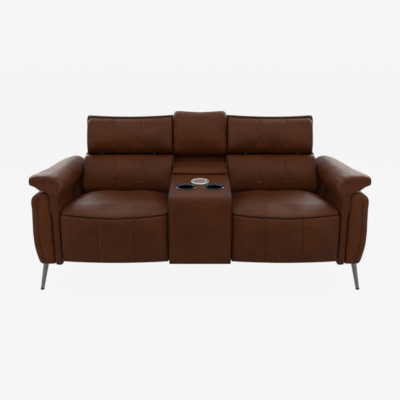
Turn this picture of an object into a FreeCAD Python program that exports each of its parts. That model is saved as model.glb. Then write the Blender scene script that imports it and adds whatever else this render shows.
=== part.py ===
import FreeCAD, Part
import Sketcher
import math
import os
from types import SimpleNamespace

# Two-seat power reclining sofa with a centre console, millimetres.
# X runs to the right as seen from the front, the front faces -Y, Z is up.
# The origin lies on the floor under the middle of the sofa.
# Sizes with a side are given for the right half and mirrored for the left.

DRIVING_SIZES = [
    ("overall_depth", 960.0),
    ("ground_clearance", 190.0),
    ("console_width", 360.0),
    ("seat_width", 616.0),
    ("side_gap", 4.0),
    ("fit_gap", 0.3),
    ("slab_thickness", 46.0),
    ("side_bulge", 124.7),
    ("wing_reach", 118.0),
    ("wing_height", 737.0),
    ("roll_height", 575.0),
    ("roll_overhang", 25.0),
    ("arm_front", 445.0),
    ("arm_rear", 366.0),
    ("arm_board", 20.0),
    ("arm_board_top", 610.0),
    ("leg_top_width", 34.0),
    ("leg_foot_width", 21.0),
    ("leg_splay", 40.0),
    ("leg_inset", 50.0),
    ("leg_front_distance", 360.0),
    ("leg_rear_distance", 290.0),
    ("leg_plate", 3.0),
    ("rail_height", 35.0),
    ("rail_width", 24.0),
    ("rail_bottom", 255.0),
    ("rail_reach", 300.0),
    ("plate_thickness", 4.0),
    ("plate_bottom", 300.0),
    ("plate_top", 378.0),
    ("plate_set", 150.0),
    ("link_thickness", 4.0),
    ("link_gap", 2.0),
    ("link_width", 26.0),
    ("pin_radius", 6.0),
    ("tube_radius", 12.0),
    ("link_root_set", 180.0),
    ("link_root_height", 345.0),
    ("rear_link_length", 200.0),
    ("rear_link_angle", 148.0),
    ("front_link_length", 275.0),
    ("front_link_angle", 22.0),
    ("seat_rear", 70.0),
    ("welt_height", 486.0),
    ("welt_rise", 18.0),
    ("crown_rise", 44.0),
    ("crown_fall", 18.0),
    ("front_bow", 25.0),
    ("panel_bottom", 215.0),
    ("pad_thickness", 58.0),
    ("board_thickness", 18.0),
    ("seat_channel_inner", 195.0),
    ("seat_channel_outer", 406.0),
    ("back_channel_inner", 209.0),
    ("back_channel_outer", 389.0),
    ("channel_depth", 5.0),
    ("channel_width", 7.0),
    ("edge_draw", 12.0),
    ("back_lean", 13.0),
    ("back_pivot_height", 400.0),
    ("back_thickness", 200.0),
    ("frame_thickness", 25.0),
    ("cover_thickness", 14.0),
    ("cover_bottom", 430.0),
    ("lumbar_bottom", 512.0),
    ("lumbar_top", 740.0),
    ("lumbar_thickness", 100.0),
    ("back_inset", 6.0),
    ("back_outer_inset", 28.0),
    ("headrest_inset", 14.0),
    ("headrest_gap", 5.0),
    ("headrest_top", 1000.0),
    ("headrest_dip", 12.0),
    ("headrest_thickness", 90.0),
    ("hinge_forward", 50.0),
    ("spring_count", 5.0),
    ("spring_wire", 2.0),
    ("console_front", 472.0),
    ("console_bottom", 207.0),
    ("console_top_front", 615.0),
    ("console_top_rear", 650.0),
    ("console_cover", 12.0),
    ("console_board", 18.0),
    ("lid_front", 40.0),
    ("lid_length", 236.0),
    ("lid_thickness", 34.0),
    ("console_back_top", 1010.0),
    ("console_back_foot", 190.0),
    ("bin_width", 240.0),
    ("bin_length", 190.0),
    ("bin_depth", 190.0),
    ("bin_wall", 3.0),
    ("cup_radius", 58.0),
    ("cup_bore", 43.0),
    ("cup_depth", 70.0),
    ("cup_spacing", 166.0),
    ("cup_place", 285.0),
    ("charger_radius", 56.0),
    ("charger_place", 185.0),
    ("panel_length", 92.0),
    ("panel_height", 34.0),
    ("panel_depth", 13.0),
    ("panel_place", 70.0),
    ("panel_middle", 550.0),
    ("rocker_length", 30.0),
    ("rocker_height", 15.0),
    ("rocker_spacing", 42.0),
    ("screw_radius", 7.0),
    ("motor_size", 68.0),
    ("rear_rail_height", 60.0),
    ("rear_rail_depth", 52.0),
    ("supply_width", 144.0),
    ("supply_height", 38.0),
    ("skirt_thickness", 14.0),
    ("skirt_top", 398.0),
]

DEGREE = math.pi / 180.0
RIGHT = 1
LEFT = -1
SIDES = ((LEFT, "left"), (RIGHT, "right"))


class Length:
    """A length that keeps its number and the sheet expression it comes from."""

    def __init__(self, value, text):
        self.value = float(value)
        self.text = text

    def _with(self, other, mark, value, swap=False):
        texts = [self.text, other.text if isinstance(other, Length) else repr(float(other))]
        if swap:
            texts.reverse()
        return Length(value, "(" + texts[0] + " " + mark + " " + texts[1] + ")")

    def __add__(self, other):
        return self._with(other, "+", self.value + float(other))

    def __radd__(self, other):
        return self._with(other, "+", float(other) + self.value, swap=True)

    def __sub__(self, other):
        return self._with(other, "-", self.value - float(other))

    def __rsub__(self, other):
        return self._with(other, "-", float(other) - self.value, swap=True)

    def __mul__(self, other):
        return self._with(other, "*", self.value * float(other))

    def __rmul__(self, other):
        return self._with(other, "*", float(other) * self.value, swap=True)

    def __truediv__(self, other):
        return self._with(other, "/", self.value / float(other))

    def __neg__(self):
        return Length(-self.value, "(0 - " + self.text + ")")

    def __float__(self):
        return self.value


def length(number):
    """A fixed number as a Length, for a place such as zero."""
    return number if isinstance(number, Length) else Length(number, repr(float(number)))


doc = FreeCAD.newDocument("power_reclining_sofa")
sheet = doc.addObject("Spreadsheet::Sheet", "Sizes")
for row, (alias, number) in enumerate(DRIVING_SIZES, start=1):
    sheet.set("A%d" % row, alias)
    sheet.set("B%d" % row, str(number))
    sheet.setAlias("B%d" % row, alias)
doc.recompute()
dim = SimpleNamespace(**{
    alias: Length(sheet.get(alias), "Sizes." + alias) for alias, number in DRIVING_SIZES
})

sub_parts = []


def keep(obj, name):
    """Name a finished sub-part and put it on the list that is written out."""
    obj.Label = name
    sub_parts.append(obj)
    return obj


def mirrored(span, side):
    """The X span of a piece on the asked side, from its span on the right."""
    low, high = length(span[0]), length(span[1])
    return (low, high) if side == RIGHT else (-high, -low)


def place(obj, x, y, z):
    """Bind the base point of an object to lengths."""
    obj.setExpression(".Placement.Base.x", length(x).text)
    obj.setExpression(".Placement.Base.y", length(y).text)
    obj.setExpression(".Placement.Base.z", length(z).text)


def block(name, xs, ys, zs, side=RIGHT):
    """A box between two corners, its sizes and place bound to the sheet."""
    x0, x1 = mirrored(xs, side)
    y0, y1 = length(ys[0]), length(ys[1])
    z0, z1 = length(zs[0]), length(zs[1])
    box = doc.addObject("Part::Box", name)
    box.setExpression("Length", (x1 - x0).text)
    box.setExpression("Width", (y1 - y0).text)
    box.setExpression("Height", (z1 - z0).text)
    place(box, x0, y0, z0)
    return box


TURNS = {
    "x": FreeCAD.Rotation(FreeCAD.Vector(0, 1, 0), 90),
    "y": FreeCAD.Rotation(FreeCAD.Vector(1, 0, 0), -90),
}


def rod(name, axis, start, reach, radius, side=RIGHT):
    """A round bar along an axis from a start point; X is mirrored for the left."""
    bar = doc.addObject("Part::Cylinder", name)
    bar.setExpression("Radius", length(radius).text)
    bar.setExpression("Height", length(reach).text)
    x, y, z = start
    if axis == "x":
        x = mirrored((x, length(x) + reach), side)[0]
    else:
        x = length(x) * side
    bar.Placement = FreeCAD.Placement(FreeCAD.Vector(0, 0, 0), TURNS[axis])
    place(bar, x, y, z)
    return bar


def fuse(name, pieces):
    """Join solids that are made as one."""
    union = doc.addObject("Part::MultiFuse", name)
    union.Shapes = pieces
    union.Refine = True
    return union


def cut(name, base, tool):
    """Take one solid out of another."""
    difference = doc.addObject("Part::Cut", name)
    difference.Base = base
    difference.Tool = tool
    difference.Refine = True
    return difference


def group(name, pieces):
    """Separate like solids that share one node."""
    compound = doc.addObject("Part::Compound", name)
    compound.Links = pieces
    return compound


def feature(name, shape):
    """A surface-built solid, for the shapes that no primitive or sketch gives."""
    solid = doc.addObject("Part::Feature", name)
    solid.Shape = shape
    return solid


def point(x, y, z):
    return FreeCAD.Vector(float(x), float(y), float(z))


def wire_of(corners, lift):
    """A closed wire; a corner is a point, or a pair whose first bends an arc to the second."""
    edges = []
    here = lift(corners[0])
    first = here
    for corner in corners[1:] + [corners[0]]:
        bent = isinstance(corner[0], tuple)
        there = first if corner is corners[0] else lift(corner[1] if bent else corner)
        if bent:
            edges.append(Part.Arc(here, lift(corner[0]), there).toShape())
        else:
            edges.append(Part.makeLine(here, there))
        here = there
    return Part.Wire(edges)


def loft(wires):
    """A closed ruled solid through wires with as many edges each."""
    solid = Part.makeLoft(wires, True, True)
    if solid.Volume < 0:
        solid = solid.reversed()
    return solid


def new_body(name):
    return doc.addObject("PartDesign::Body", name)


def sketch_on(body, role, name):
    """A sketch on one of the body's own origin planes."""
    sketch = body.newObject("Sketcher::SketchObject", name)
    plane = [item for item in body.Origin.OriginFeatures if item.Role == role][0]
    sketch.AttachmentSupport = [(plane, "")]
    sketch.MapMode = "FlatFace"
    return sketch


def bind(sketch, constraint, value):
    """Add a constraint and bind it to a length."""
    number = sketch.addConstraint(constraint)
    sketch.setExpression("Constraints[%d]" % number, length(value).text)


def pin_down(sketch, geometry, end, x, y):
    """Hold a point of the sketch at two bound coordinates."""
    for kind, value in (("DistanceX", length(x)), ("DistanceY", length(y))):
        bind(sketch, Sketcher.Constraint(kind, -1, 1, geometry, end, float(value)), value)


def outline(sketch, corners):
    """A closed run of lines whose corners are bound to lengths."""
    places = [point(x, y, 0) for x, y in corners]
    first = len(sketch.Geometry)
    for index, here in enumerate(places):
        sketch.addGeometry(Part.LineSegment(here, places[(index + 1) % len(places)]), False)
    for index, (x, y) in enumerate(corners):
        following = first + (index + 1) % len(corners)
        sketch.addConstraint(Sketcher.Constraint("Coincident", first + index, 2, following, 1))
        pin_down(sketch, first + index, 1, x, y)


def ring(sketch, x, y, radius):
    """A circle bound to its centre and radius."""
    number = sketch.addGeometry(Part.Circle(point(x, y, 0), point(0, 0, 1), float(radius)), False)
    bind(sketch, Sketcher.Constraint("Radius", number, float(radius)), radius)
    pin_down(sketch, number, 3, x, y)


def pad(body, sketch, reach, name):
    """Extrude a sketch along its normal by a bound length."""
    extrusion = body.newObject("PartDesign::Pad", name)
    extrusion.Profile = sketch
    extrusion.setExpression("Length", length(reach).text)
    sketch.Visibility = False
    return extrusion


def flat_link(name, ends, width, thickness, hole, x, side):
    """A steel link bar in the YZ plane with a hole at each end, pushed out along X."""
    (y0, z0), (y1, z1) = ends
    run = math.hypot(float(y1) - float(y0), float(z1) - float(z0))
    turn = math.degrees(math.atan2(float(z1) - float(z0), float(y1) - float(y0)))
    body = new_body(name)
    sketch = sketch_on(body, "YZ_Plane", name + "_outline")
    half = width / 2
    reach = Length(run, repr(run))
    outline(sketch, [(-half, -half), (reach + half, -half), (reach + half, half), (-half, half)])
    ring(sketch, length(0), length(0), hole)
    ring(sketch, reach, length(0), hole)
    bar = pad(body, sketch, thickness, name + "_bar")
    doc.recompute()
    corners = [
        "Edge%d" % number for number, edge in enumerate(bar.Shape.Edges, start=1)
        if edge.Curve.TypeId == "Part::GeomLine" and abs(edge.tangentAt(edge.FirstParameter).x) > 0.9
    ]
    rounding = body.newObject("PartDesign::Fillet", name + "_ends")
    rounding.Base = (bar, corners)
    rounding.Radius = float(half) * 0.98
    body.Placement = FreeCAD.Placement(
        point(mirrored((x, x + thickness), side)[0], y0, z0),
        FreeCAD.Rotation(FreeCAD.Vector(1, 0, 0), turn),
    )
    return body


# Places that the pieces share, worked out from the driving sizes.
lean = math.tan(float(dim.back_lean) * DEGREE)
front_y = -(dim.overall_depth / 2)
rear_y = dim.overall_depth / 2
console_half = dim.console_width / 2
seat_in = console_half + dim.side_gap
seat_out = seat_in + dim.seat_width
seat_middle = seat_in + dim.seat_width / 2
slab_in = seat_out + dim.side_gap
slab_out = slab_in + dim.slab_thickness
panel_in = slab_out + dim.fit_gap
board_in = slab_in + dim.panel_depth
arm_bottom = dim.ground_clearance
ORIGIN = FreeCAD.Vector(0, 0, 0)
AXIS_X = FreeCAD.Vector(1, 0, 0)


def on_side(shape, side):
    """A shape drawn on the right, mirrored when the left one is asked for."""
    return shape if side == RIGHT else shape.mirror(ORIGIN, AXIS_X)


def cross_section(corners, y):
    """A closed wire in the XZ plane at one place along the depth."""
    return wire_of(corners, lambda corner: point(corner[0], y, corner[1]))


def side_section(corners, x):
    """A closed wire in the YZ plane at one place across the width."""
    return wire_of(corners, lambda corner: point(x, corner[0], corner[1]))


# Arms: a timber board, a leather pad whose top flares out as a wing, an outer padded panel.
def arm_section(y, inset, reach, drop):
    """The arm pad's section: slab, inner roll, crowned top, wing tip and underside."""
    inner = float(slab_in) + inset
    outer = float(slab_out) - inset
    roll = inner - float(dim.roll_overhang)
    top = float(dim.wing_height) - drop - inset
    tip = outer + reach
    shoulder = float(dim.wing_height) - 100.0
    throat = shoulder - 32.0
    roll_start = float(dim.roll_height)
    root = outer + 12.0
    crest = outer + 0.45 * reach
    corners = [
        (inner, float(arm_bottom)),
        (inner, roll_start),
        ((inner - 8.0, roll_start + 40.0), (roll, top - 78.0)),
        ((roll + 2.0, top - 54.0), (roll + 26.0, top - 37.0)),
        ((roll + 70.0, top - 11.0), (crest, top)),
        ((crest + 0.65 * (tip - crest), top - 5.0), (tip, top - 24.0)),
        (((tip + root) / 2 + 12.0, (top - 24.0 + shoulder) / 2 - 12.0), (root, shoulder)),
        ((outer + 3.0, shoulder - 12.0), (outer, throat)),
        (outer, float(arm_bottom)),
    ]
    return cross_section(corners, y)


def arm_loft():
    front, rear, reach = -float(dim.arm_front), float(dim.arm_rear), float(dim.wing_reach)
    stations = [
        (front, 9.0, reach - 10.0, 8.0),
        (front + 16.0, 0.0, reach, 0.0),
        (0.0, 0.0, reach - 6.0, 14.0),
        (rear / 2, 0.0, reach - 32.0, 24.0),
        (rear - 16.0, 0.0, reach - 54.0, 32.0),
        (rear, 9.0, reach - 64.0, 40.0),
    ]
    return loft([arm_section(*station) for station in stations])


def side_section_at(y, inset):
    """The outer panel's section: flat inside and below, bulged outside."""
    inner = float(panel_in)
    out = inner + float(dim.side_bulge) - inset
    low = float(arm_bottom)
    top = float(dim.wing_height) - 106.0 - inset
    corners = [
        (inner, low),
        (inner, top - 35.0),
        ((inner + 24.0, top - 5.0), (inner + 62.0, top)),
        ((out - 16.0, top - 30.0), (out - 3.0, top - 112.0)),
        ((out, (top + low) / 2), (out - 5.0, low + 74.0)),
        ((out - 13.0, low + 18.0), (out - 38.0, low)),
    ]
    return cross_section(corners, y)


def side_loft():
    front, rear = -float(dim.arm_front) + 13.0, float(dim.arm_rear)
    stations = [(front, 20.0), (front + 18.0, 0.0), (rear - 18.0, 0.0), (rear, 20.0)]
    return loft([side_section_at(*station) for station in stations])


def arm_board_spans():
    return (
        (board_in, board_in + dim.arm_board),
        (-dim.arm_front + 18.0, dim.arm_rear - 12.0),
        (arm_bottom, dim.arm_board_top),
    )


def control_spans():
    """The control panel's pocket: set in the arm's inner face above the seat."""
    half = dim.panel_length / 2
    height = dim.panel_height / 2
    return (
        (slab_in - 3.0, board_in),
        (-dim.panel_place - half, -dim.panel_place + half),
        (dim.panel_middle - height, dim.panel_middle + height),
    )


for side, word in SIDES:
    keep(block(word + "_board", *arm_board_spans(), side=side), word + "_arm_frame")
    arm_form = feature(word + "_arm_form", on_side(arm_loft(), side))
    arm_hollow = fuse(word + "_arm_hollow", [
        block(word + "_board_space", *arm_board_spans(), side=side),
        block(word + "_control_space", *control_spans(), side=side),
    ])
    keep(cut(word + "_pad", arm_form, arm_hollow), word + "_arm_pad")
    keep(feature(word + "_panel_form", on_side(side_loft(), side)), word + "_side_panel")


# Legs: tapered, splayed outwards, each under a screw plate.
def leg(name, side, depth_sign, place_y):
    body = new_body(name)
    height = dim.ground_clearance - dim.leg_plate
    shift = -dim.leg_splay * side
    foot = sketch_on(body, "XY_Plane", name + "_foot")
    top = sketch_on(body, "XY_Plane", name + "_top")
    top.setExpression(".AttachmentOffset.Base.z", height.text)
    for sketch, width, middle in ((foot, dim.leg_foot_width, length(0)), (top, dim.leg_top_width, shift)):
        half = width / 2
        outline(sketch, [
            (middle - half, length(0)), (middle, -half), (middle + half, length(0)), (middle, half),
        ])
    taper = body.newObject("PartDesign::AdditiveLoft", name + "_taper")
    taper.Profile = foot
    taper.Sections = [top]
    taper.Ruled = True
    plate = sketch_on(body, "XY_Plane", name + "_plate")
    plate.setExpression(".AttachmentOffset.Base.z", height.text)
    reach = dim.leg_top_width * 0.75
    outline(plate, [
        (shift - reach, -reach), (shift + reach, -reach), (shift + reach, reach), (shift - reach, reach),
    ])
    pad(body, plate, dim.leg_plate, name + "_screw_plate")
    place(body, (slab_out + dim.side_bulge - dim.leg_inset + dim.leg_splay) * side, place_y * depth_sign, 0)
    return keep(body, name)


for side, word in SIDES:
    leg(word + "_front_leg", side, -1, dim.leg_front_distance)
    leg(word + "_rear_leg", side, 1, dim.leg_rear_distance)


# Rear base: a timber rail between the arms and the panel that closes the back below the seats.
skirt_front = dim.rail_reach + dim.rear_rail_depth
rail_low = dim.rail_bottom - dim.rear_rail_height
rear_base = fuse("rear_base_solid", [
    block("rear_rail", (-slab_in, slab_in), (dim.rail_reach, skirt_front), (rail_low, dim.rail_bottom)),
    block("rear_skirt", (-slab_in, slab_in), (skirt_front, skirt_front + dim.skirt_thickness),
          (rail_low, dim.skirt_top)),
])
keep(rear_base, "rear_base")
supply_half = dim.supply_width / 2
supply_low = dim.rail_bottom + dim.fit_gap
keep(block("supply_box", (-supply_half, supply_half),
           (dim.rail_reach + 3.0, skirt_front - 3.0), (supply_low, supply_low + dim.supply_height)), "power_supply")


# Console: a timber carcass in a leather cover, with a bin, a lid, cup holders and a charging disc.
slope_start = -dim.console_front + 32.0
slope_end = -dim.lid_front
slope = math.atan2(
    float(dim.console_top_rear - dim.console_top_front), float(slope_end - slope_start))
console_rear = dim.rail_reach


def console_section(x, inset):
    front = -float(dim.console_front) + inset
    low, high = float(dim.console_bottom), float(dim.console_top_front) - inset
    rear, top = float(console_rear), float(dim.console_top_rear) - inset
    corners = [
        (front + 6.0, low),
        ((front - 5.0, (low + high) / 2), (front, high - 52.0)),
        ((front + 7.0, high - 17.0), (float(slope_start), high)),
        (float(slope_end), top),
        (rear, top),
        (rear, low),
    ]
    return side_section(corners, x)


def console_loft():
    half = float(console_half)
    return loft([
        console_section(x, inset)
        for x, inset in ((-half, 9.0), (-half + 11.0, 0.0), (half - 11.0, 0.0), (half, 9.0))
    ])


def carcass_spans(inward):
    return (
        (-console_half + dim.console_cover + inward, console_half - dim.console_cover - inward),
        (-dim.console_front + dim.console_cover + 10.0 + inward, console_rear - dim.console_cover - inward),
    )


def bin_spans(wall):
    """The storage bin under the lid, drawn in on all sides by a wall."""
    start = slope_end + 15.0
    return (
        (-(dim.bin_width / 2) + wall, dim.bin_width / 2 - wall),
        (start + wall, start + dim.bin_length - wall),
        (dim.console_top_rear - dim.bin_depth + wall, dim.console_top_rear),
    )


def on_slope(obj, x, y, drop):
    """Stand an object square on the console's sloping top, sunk by a depth."""
    turn = FreeCAD.Rotation(AXIS_X, math.degrees(slope))
    height = float(dim.console_top_front) + (float(y) - float(slope_start)) * math.tan(slope)
    sunk = turn.multVec(FreeCAD.Vector(0, 0, -float(drop)))
    obj.Placement = FreeCAD.Placement(point(x, y, height) + sunk, turn)
    return obj


def well(name, radius, x, y, drop, reach):
    """A round tool that sinks a hole square to the console's top."""
    tool = doc.addObject("Part::Cylinder", name)
    tool.setExpression("Radius", length(radius).text)
    tool.setExpression("Height", length(reach).text)
    return on_slope(tool, x, y, drop)


cup_wall = 3.0
cup_outer = dim.cup_bore + cup_wall
charger_boss = dim.charger_radius * 0.7
charger_sunk = 5.0


def console_wells(name):
    """All that is taken out of the console's top."""
    tools = [block(name + "_bin_space", *bin_spans(length(0)))]
    for side, word in SIDES:
        tools.append(well(name + "_" + word + "_cup_space", cup_outer + dim.fit_gap,
                          dim.cup_spacing / 2 * side, -dim.cup_place, dim.cup_depth + 1.0,
                          dim.cup_depth + 30.0))
    tools.append(well(name + "_charger_space", charger_boss + dim.fit_gap,
                      length(0), -dim.charger_place, length(charger_sunk), length(charger_sunk + 30.0)))
    return tools


board_low = dim.console_bottom
board_top = dim.console_top_front - dim.console_cover - 5.0
carcass = cut("carcass_shell", block("carcass_block", *carcass_spans(length(0)), (board_low, board_top)),
              block("carcass_hollow", *carcass_spans(dim.console_board),
                    (board_low - 1.0, board_top - dim.console_board)))
keep(cut("carcass_with_wells", carcass, fuse("carcass_wells", console_wells("carcass"))), "console_frame")
cover_tools = console_wells("cover")
cover_tools.append(block("carcass_space", *carcass_spans(length(0)), (board_low - 1.0, board_top)))
keep(cut("console_shell", feature("console_form", console_loft()), fuse("cover_wells", cover_tools)),
     "console_cover")

keep(cut("bin_shell", block("bin_block", *bin_spans(length(0))),
         block("bin_hollow", bin_spans(dim.bin_wall)[0], bin_spans(dim.bin_wall)[1],
               (bin_spans(dim.bin_wall)[2][0], dim.console_top_rear + 1.0))), "storage_bin")


def turned(name, corners, x, y):
    """A round piece turned from a half section and stood on the console's top."""
    body = new_body(name)
    sketch = sketch_on(body, "XZ_Plane", name + "_section")
    outline(sketch, corners)
    turn = body.newObject("PartDesign::Revolution", name + "_turn")
    turn.Profile = sketch
    turn.ReferenceAxis = (sketch, ["V_Axis"])
    turn.Angle = 360.0
    sketch.Visibility = False
    on_slope(body, x, y, length(0))
    return body


for side, word in SIDES:
    name = word + "_cup_holder"
    floor_z = -dim.cup_depth
    keep(turned(name, [
        (length(0), floor_z),
        (cup_outer, floor_z),
        (cup_outer, length(0)),
        (dim.cup_radius, length(0)),
        (dim.cup_radius, length(3)),
        (dim.cup_radius - 4.0, length(5)),
        (cup_outer + 1.0, length(5)),
        (dim.cup_bore, length(1)),
        (dim.cup_bore, floor_z + cup_wall),
        (length(0), floor_z + cup_wall),
    ], dim.cup_spacing / 2 * side, -dim.cup_place), name)

keep(turned("charger", [
    (length(0), length(-charger_sunk)),
    (charger_boss, length(-charger_sunk)),
    (charger_boss, length(0)),
    (dim.charger_radius, length(0)),
    (dim.charger_radius, length(3)),
    (dim.charger_radius - 4.0, length(5)),
    (dim.charger_radius - 12.0, length(5)),
    (dim.charger_radius - 14.0, length(3)),
    (length(0), length(3)),
], length(0), -dim.charger_place), "charging_disc")


def lid_section(x, inset):
    front = float(slope_end) - 4.0 + inset
    rear = float(slope_end) - 4.0 + float(dim.lid_length) - inset
    low = float(dim.console_top_rear) + float(dim.fit_gap)
    top = low + float(dim.lid_thickness) - inset * 0.8
    corners = [
        (front + 6.0, low),
        ((front - 1.0, low + 8.0), (front + 2.0, low + 16.0)),
        ((front + 10.0, top - 5.0), (front + 30.0, top)),
        (((front + rear) / 2, top + 4.0), (rear - 20.0, top)),
        ((rear - 5.0, top - 6.0), (rear, top - 18.0)),
        (rear, low),
    ]
    return side_section(corners, x)


half = float(console_half)
keep(feature("lid_form", loft([
    lid_section(x, inset)
    for x, inset in ((-half, 9.0), (-half + 12.0, 0.0), (half - 12.0, 0.0), (half, 9.0))
])), "console_lid")


def console_back_section(x, inset):
    """The fixed back over the console: a foot on the lid's level and a bolster above it."""
    low = float(dim.console_top_rear)
    foot = float(dim.console_back_foot) + 42.0
    reach = min(abs(x) / (0.8 * half), 1.0)
    top = float(dim.console_back_top) - float(dim.headrest_dip) * (1.0 - reach ** 2) - inset
    bulge = float(dim.console_back_foot) - 22.0 + inset
    rear_foot = float(console_rear)
    roll = low + 85.0 + inset
    rear_top = rear_foot + (top - low - 34.0) * lean
    corners = [
        (foot, low),
        (foot + 8.0, roll - 22.0),
        ((foot - 22.0, roll - 10.0), (bulge + 14.0, roll + 8.0)),
        ((bulge - 3.0, roll + 40.0), (bulge + 4.0, roll + 90.0)),
        ((bulge + 22.0, top - 84.0), (bulge + 52.0, top - 26.0)),
        ((bulge + 66.0, top - 8.0), (bulge + 90.0, top)),
        (rear_top - 30.0, top),
        ((rear_top - 8.0, top - 10.0), (rear_top, top - 34.0)),
        (rear_foot, low),
    ]
    return side_section(corners, x)


back_stations = [(-half, 10.0), (-half + 12.0, 0.0), (-0.4 * half, 0.0), (0.0, 0.0),
                 (0.4 * half, 0.0), (half - 12.0, 0.0), (half, 10.0)]
keep(feature("console_back_form", loft([
    console_back_section(x, inset) for x, inset in back_stations
])), "console_back_cushion")


# Seats. Each is a carriage that glides on two rails and carries the cushion, back and footrest.
rail_top = dim.rail_bottom + dim.rail_height
plate_offset = dim.rail_width + 2.0
rear_link_offset = plate_offset + dim.plate_thickness + dim.link_gap
front_link_offset = rear_link_offset + dim.link_thickness + dim.link_gap
bracket_offset = front_link_offset + dim.link_thickness + dim.link_gap
pin_hole = dim.pin_radius + 0.1
back_set = 20.0
head_rise = dim.headrest_top - dim.lumbar_top - dim.headrest_gap
rear_corner = head_rise / 8.5
pivot_y = (rear_y - dim.back_thickness - back_set
           - (dim.headrest_top - rear_corner - dim.back_pivot_height) * lean)
seat_low = dim.plate_top + dim.fit_gap
tube_height = dim.plate_top - dim.tube_radius - dim.spring_wire * 2 - dim.fit_gap
root_y = front_y + dim.link_root_set
front_tube_y = root_y + 30.0
rear_tube_y = dim.seat_rear + 5.0
motor_x = seat_middle
screw_x = seat_middle + 110.0
screw_height = dim.rail_bottom - 15.0
root_z = dim.link_root_height


def polar(start, reach, degrees):
    """The end of a link in the YZ plane; angles rise from the forward direction."""
    turn = degrees * DEGREE
    return (start[0] - float(reach) * math.cos(turn), start[1] + float(reach) * math.sin(turn))


link_root = (float(root_y), float(root_z))
knee = polar(link_root, dim.rear_link_length, -float(dim.rear_link_angle))
toe = polar(knee, dim.front_link_length, float(dim.front_link_angle))


def both_ends(offset, thickness):
    """The X spans of a pair of plates, each as far in from its side of the seat."""
    return (
        (seat_in + offset, seat_in + offset + thickness),
        (seat_out - offset - thickness, seat_out - offset),
    )


def pins(name, offset, y, z, reach, radius, side):
    """Pins that stand out of both plates towards the middle of the seat."""
    inner, outer = both_ends(offset, reach)
    return [
        rod(name + "_inner", "x", (inner[0], y, z), reach, radius, side),
        rod(name + "_outer", "x", (outer[0], y, z), reach, radius, side),
    ]


def frame_y(z):
    """The backrest frame's front plane, which leans back with height."""
    return float(pivot_y) + back_set + (float(z) - float(dim.back_pivot_height)) * lean


def at(depth, z):
    """A point in the YZ plane, by its depth behind the leaning plane."""
    return (frame_y(z) + float(depth), float(z))


def leaning(name, xs, depths, heights, side):
    """A prism between two depths behind the leaning plane and two heights."""
    x0, x1 = float(xs[0]), float(xs[1])
    corners = [
        at(depths[0], heights[0]), at(depths[1], heights[0]),
        at(depths[1], heights[1]), at(depths[0], heights[1]),
    ]
    face = Part.Face(side_section(corners, x0))
    return feature(name, on_side(face.extrude(FreeCAD.Vector(x1 - x0, 0, 0)), side))


def plate_body(name, corners, holes, x, thickness, side):
    """A flat steel plate in the YZ plane with round holes, pushed out along X."""
    body = new_body(name)
    sketch = sketch_on(body, "YZ_Plane", name + "_outline")
    outline(sketch, corners)
    for y, z, radius in holes:
        ring(sketch, length(y), length(z), radius)
    pad(body, sketch, thickness, name + "_plate")
    place(body, mirrored((x, x + thickness), side)[0], 0, 0)
    return body


def stations(low, high, channels, crests):
    """Places across a cushion: drawn-in ends, a sunk line at each channel, and plain crests between."""
    draw, half_width = float(dim.edge_draw), float(dim.channel_width)
    places = [(float(low), draw, 0.0), (float(low) + draw, 0.0, 0.0)]
    for channel in channels:
        middle = float(seat_in + channel)
        places += [
            (middle - half_width, 0.0, 0.0),
            (middle, 0.0, float(dim.channel_depth)),
            (middle + half_width, 0.0, 0.0),
        ]
    places += [(float(low) + float(high - low) * share, 0.0, 0.0) for share in crests]
    return places + [(float(high) - draw, 0.0, 0.0), (float(high), draw, 0.0)]


def across(x):
    """How far a place is from the seat's middle, from -1 to 1."""
    return (x - float(seat_middle)) / (float(dim.seat_width) / 2)


def cushion(name, section, low, high, channels, side, crests=()):
    """A sewn cushion: one section lofted across the seat through its channels or its crests."""
    wires = [section(x, inset, sink) for x, inset, sink in stations(low, high, channels, crests)]
    return feature(name, on_side(loft(wires), side))


pad_back = front_y + dim.pad_thickness
board_back = pad_back + dim.board_thickness
pad_gap = 3.0


def welt(x):
    return float(dim.welt_height) + float(dim.welt_rise) * across(x) ** 2


def bow(x):
    return float(front_y) + float(dim.front_bow) * across(x) ** 2


def seat_section(x, inset, sink):
    """Seat cushion: nose over the footrest's top, crown, and a slope down under the back."""
    low, rear = float(seat_low), float(dim.seat_rear)
    highest = float(dim.welt_height + dim.crown_rise)
    crown = highest - float(dim.crown_fall) * across(x) ** 2 - inset / 2 - sink
    front = bow(x) + 3.0 + inset + sink
    lip = welt(x)
    nose = lip + 0.7 * (crown - lip)
    corners = [
        (rear, low),
        (float(board_back) + 6.0, low),
        (float(board_back) + 6.0, lip),
        (front + 5.0, lip),
        ((front + 5.0, lip + 0.45 * (nose - lip)), (front + 26.0, nose)),
        (((front + rear) / 2, crown), (rear - 30.0, crown - 22.0)),
        ((rear - 8.0, crown - 28.0), (rear, crown - 42.0)),
    ]
    return side_section(corners, x)


def pad_section(x, inset, sink):
    """Footrest pad: flat against its board, rounded along its top and bottom."""
    back, front = float(pad_back), bow(x) + inset + sink
    low, high = float(dim.panel_bottom), welt(x) - pad_gap
    corners = [
        (back, low),
        (front + 16.0, low),
        ((front + 4.5, low + 6.0), (front, low + 24.0)),
        (front, high - 22.0),
        ((front + 2.5, high - 7.0), (front + 10.0, high)),
        (back, high),
    ]
    return side_section(corners, x)


def lumbar_section(x, inset, sink):
    """Lumbar cushion: full at the bottom, rounded over at the top."""
    low, high = float(dim.lumbar_bottom) + inset / 2, float(dim.lumbar_top) - inset / 2
    thick = float(dim.lumbar_thickness) - inset - sink
    corners = [
        at(0, low),
        at(-1.0 * thick, low),
        (at(-1.3 * thick, low + 12.0), at(-1.4 * thick, low + 40.0)),
        (at(-1.32 * thick, (low + high) / 2), at(-1.04 * thick, high - 36.0)),
        (at(-0.92 * thick, high - 11.0), at(-0.66 * thick, high)),
        at(0, high),
    ]
    return side_section(corners, x)


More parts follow.
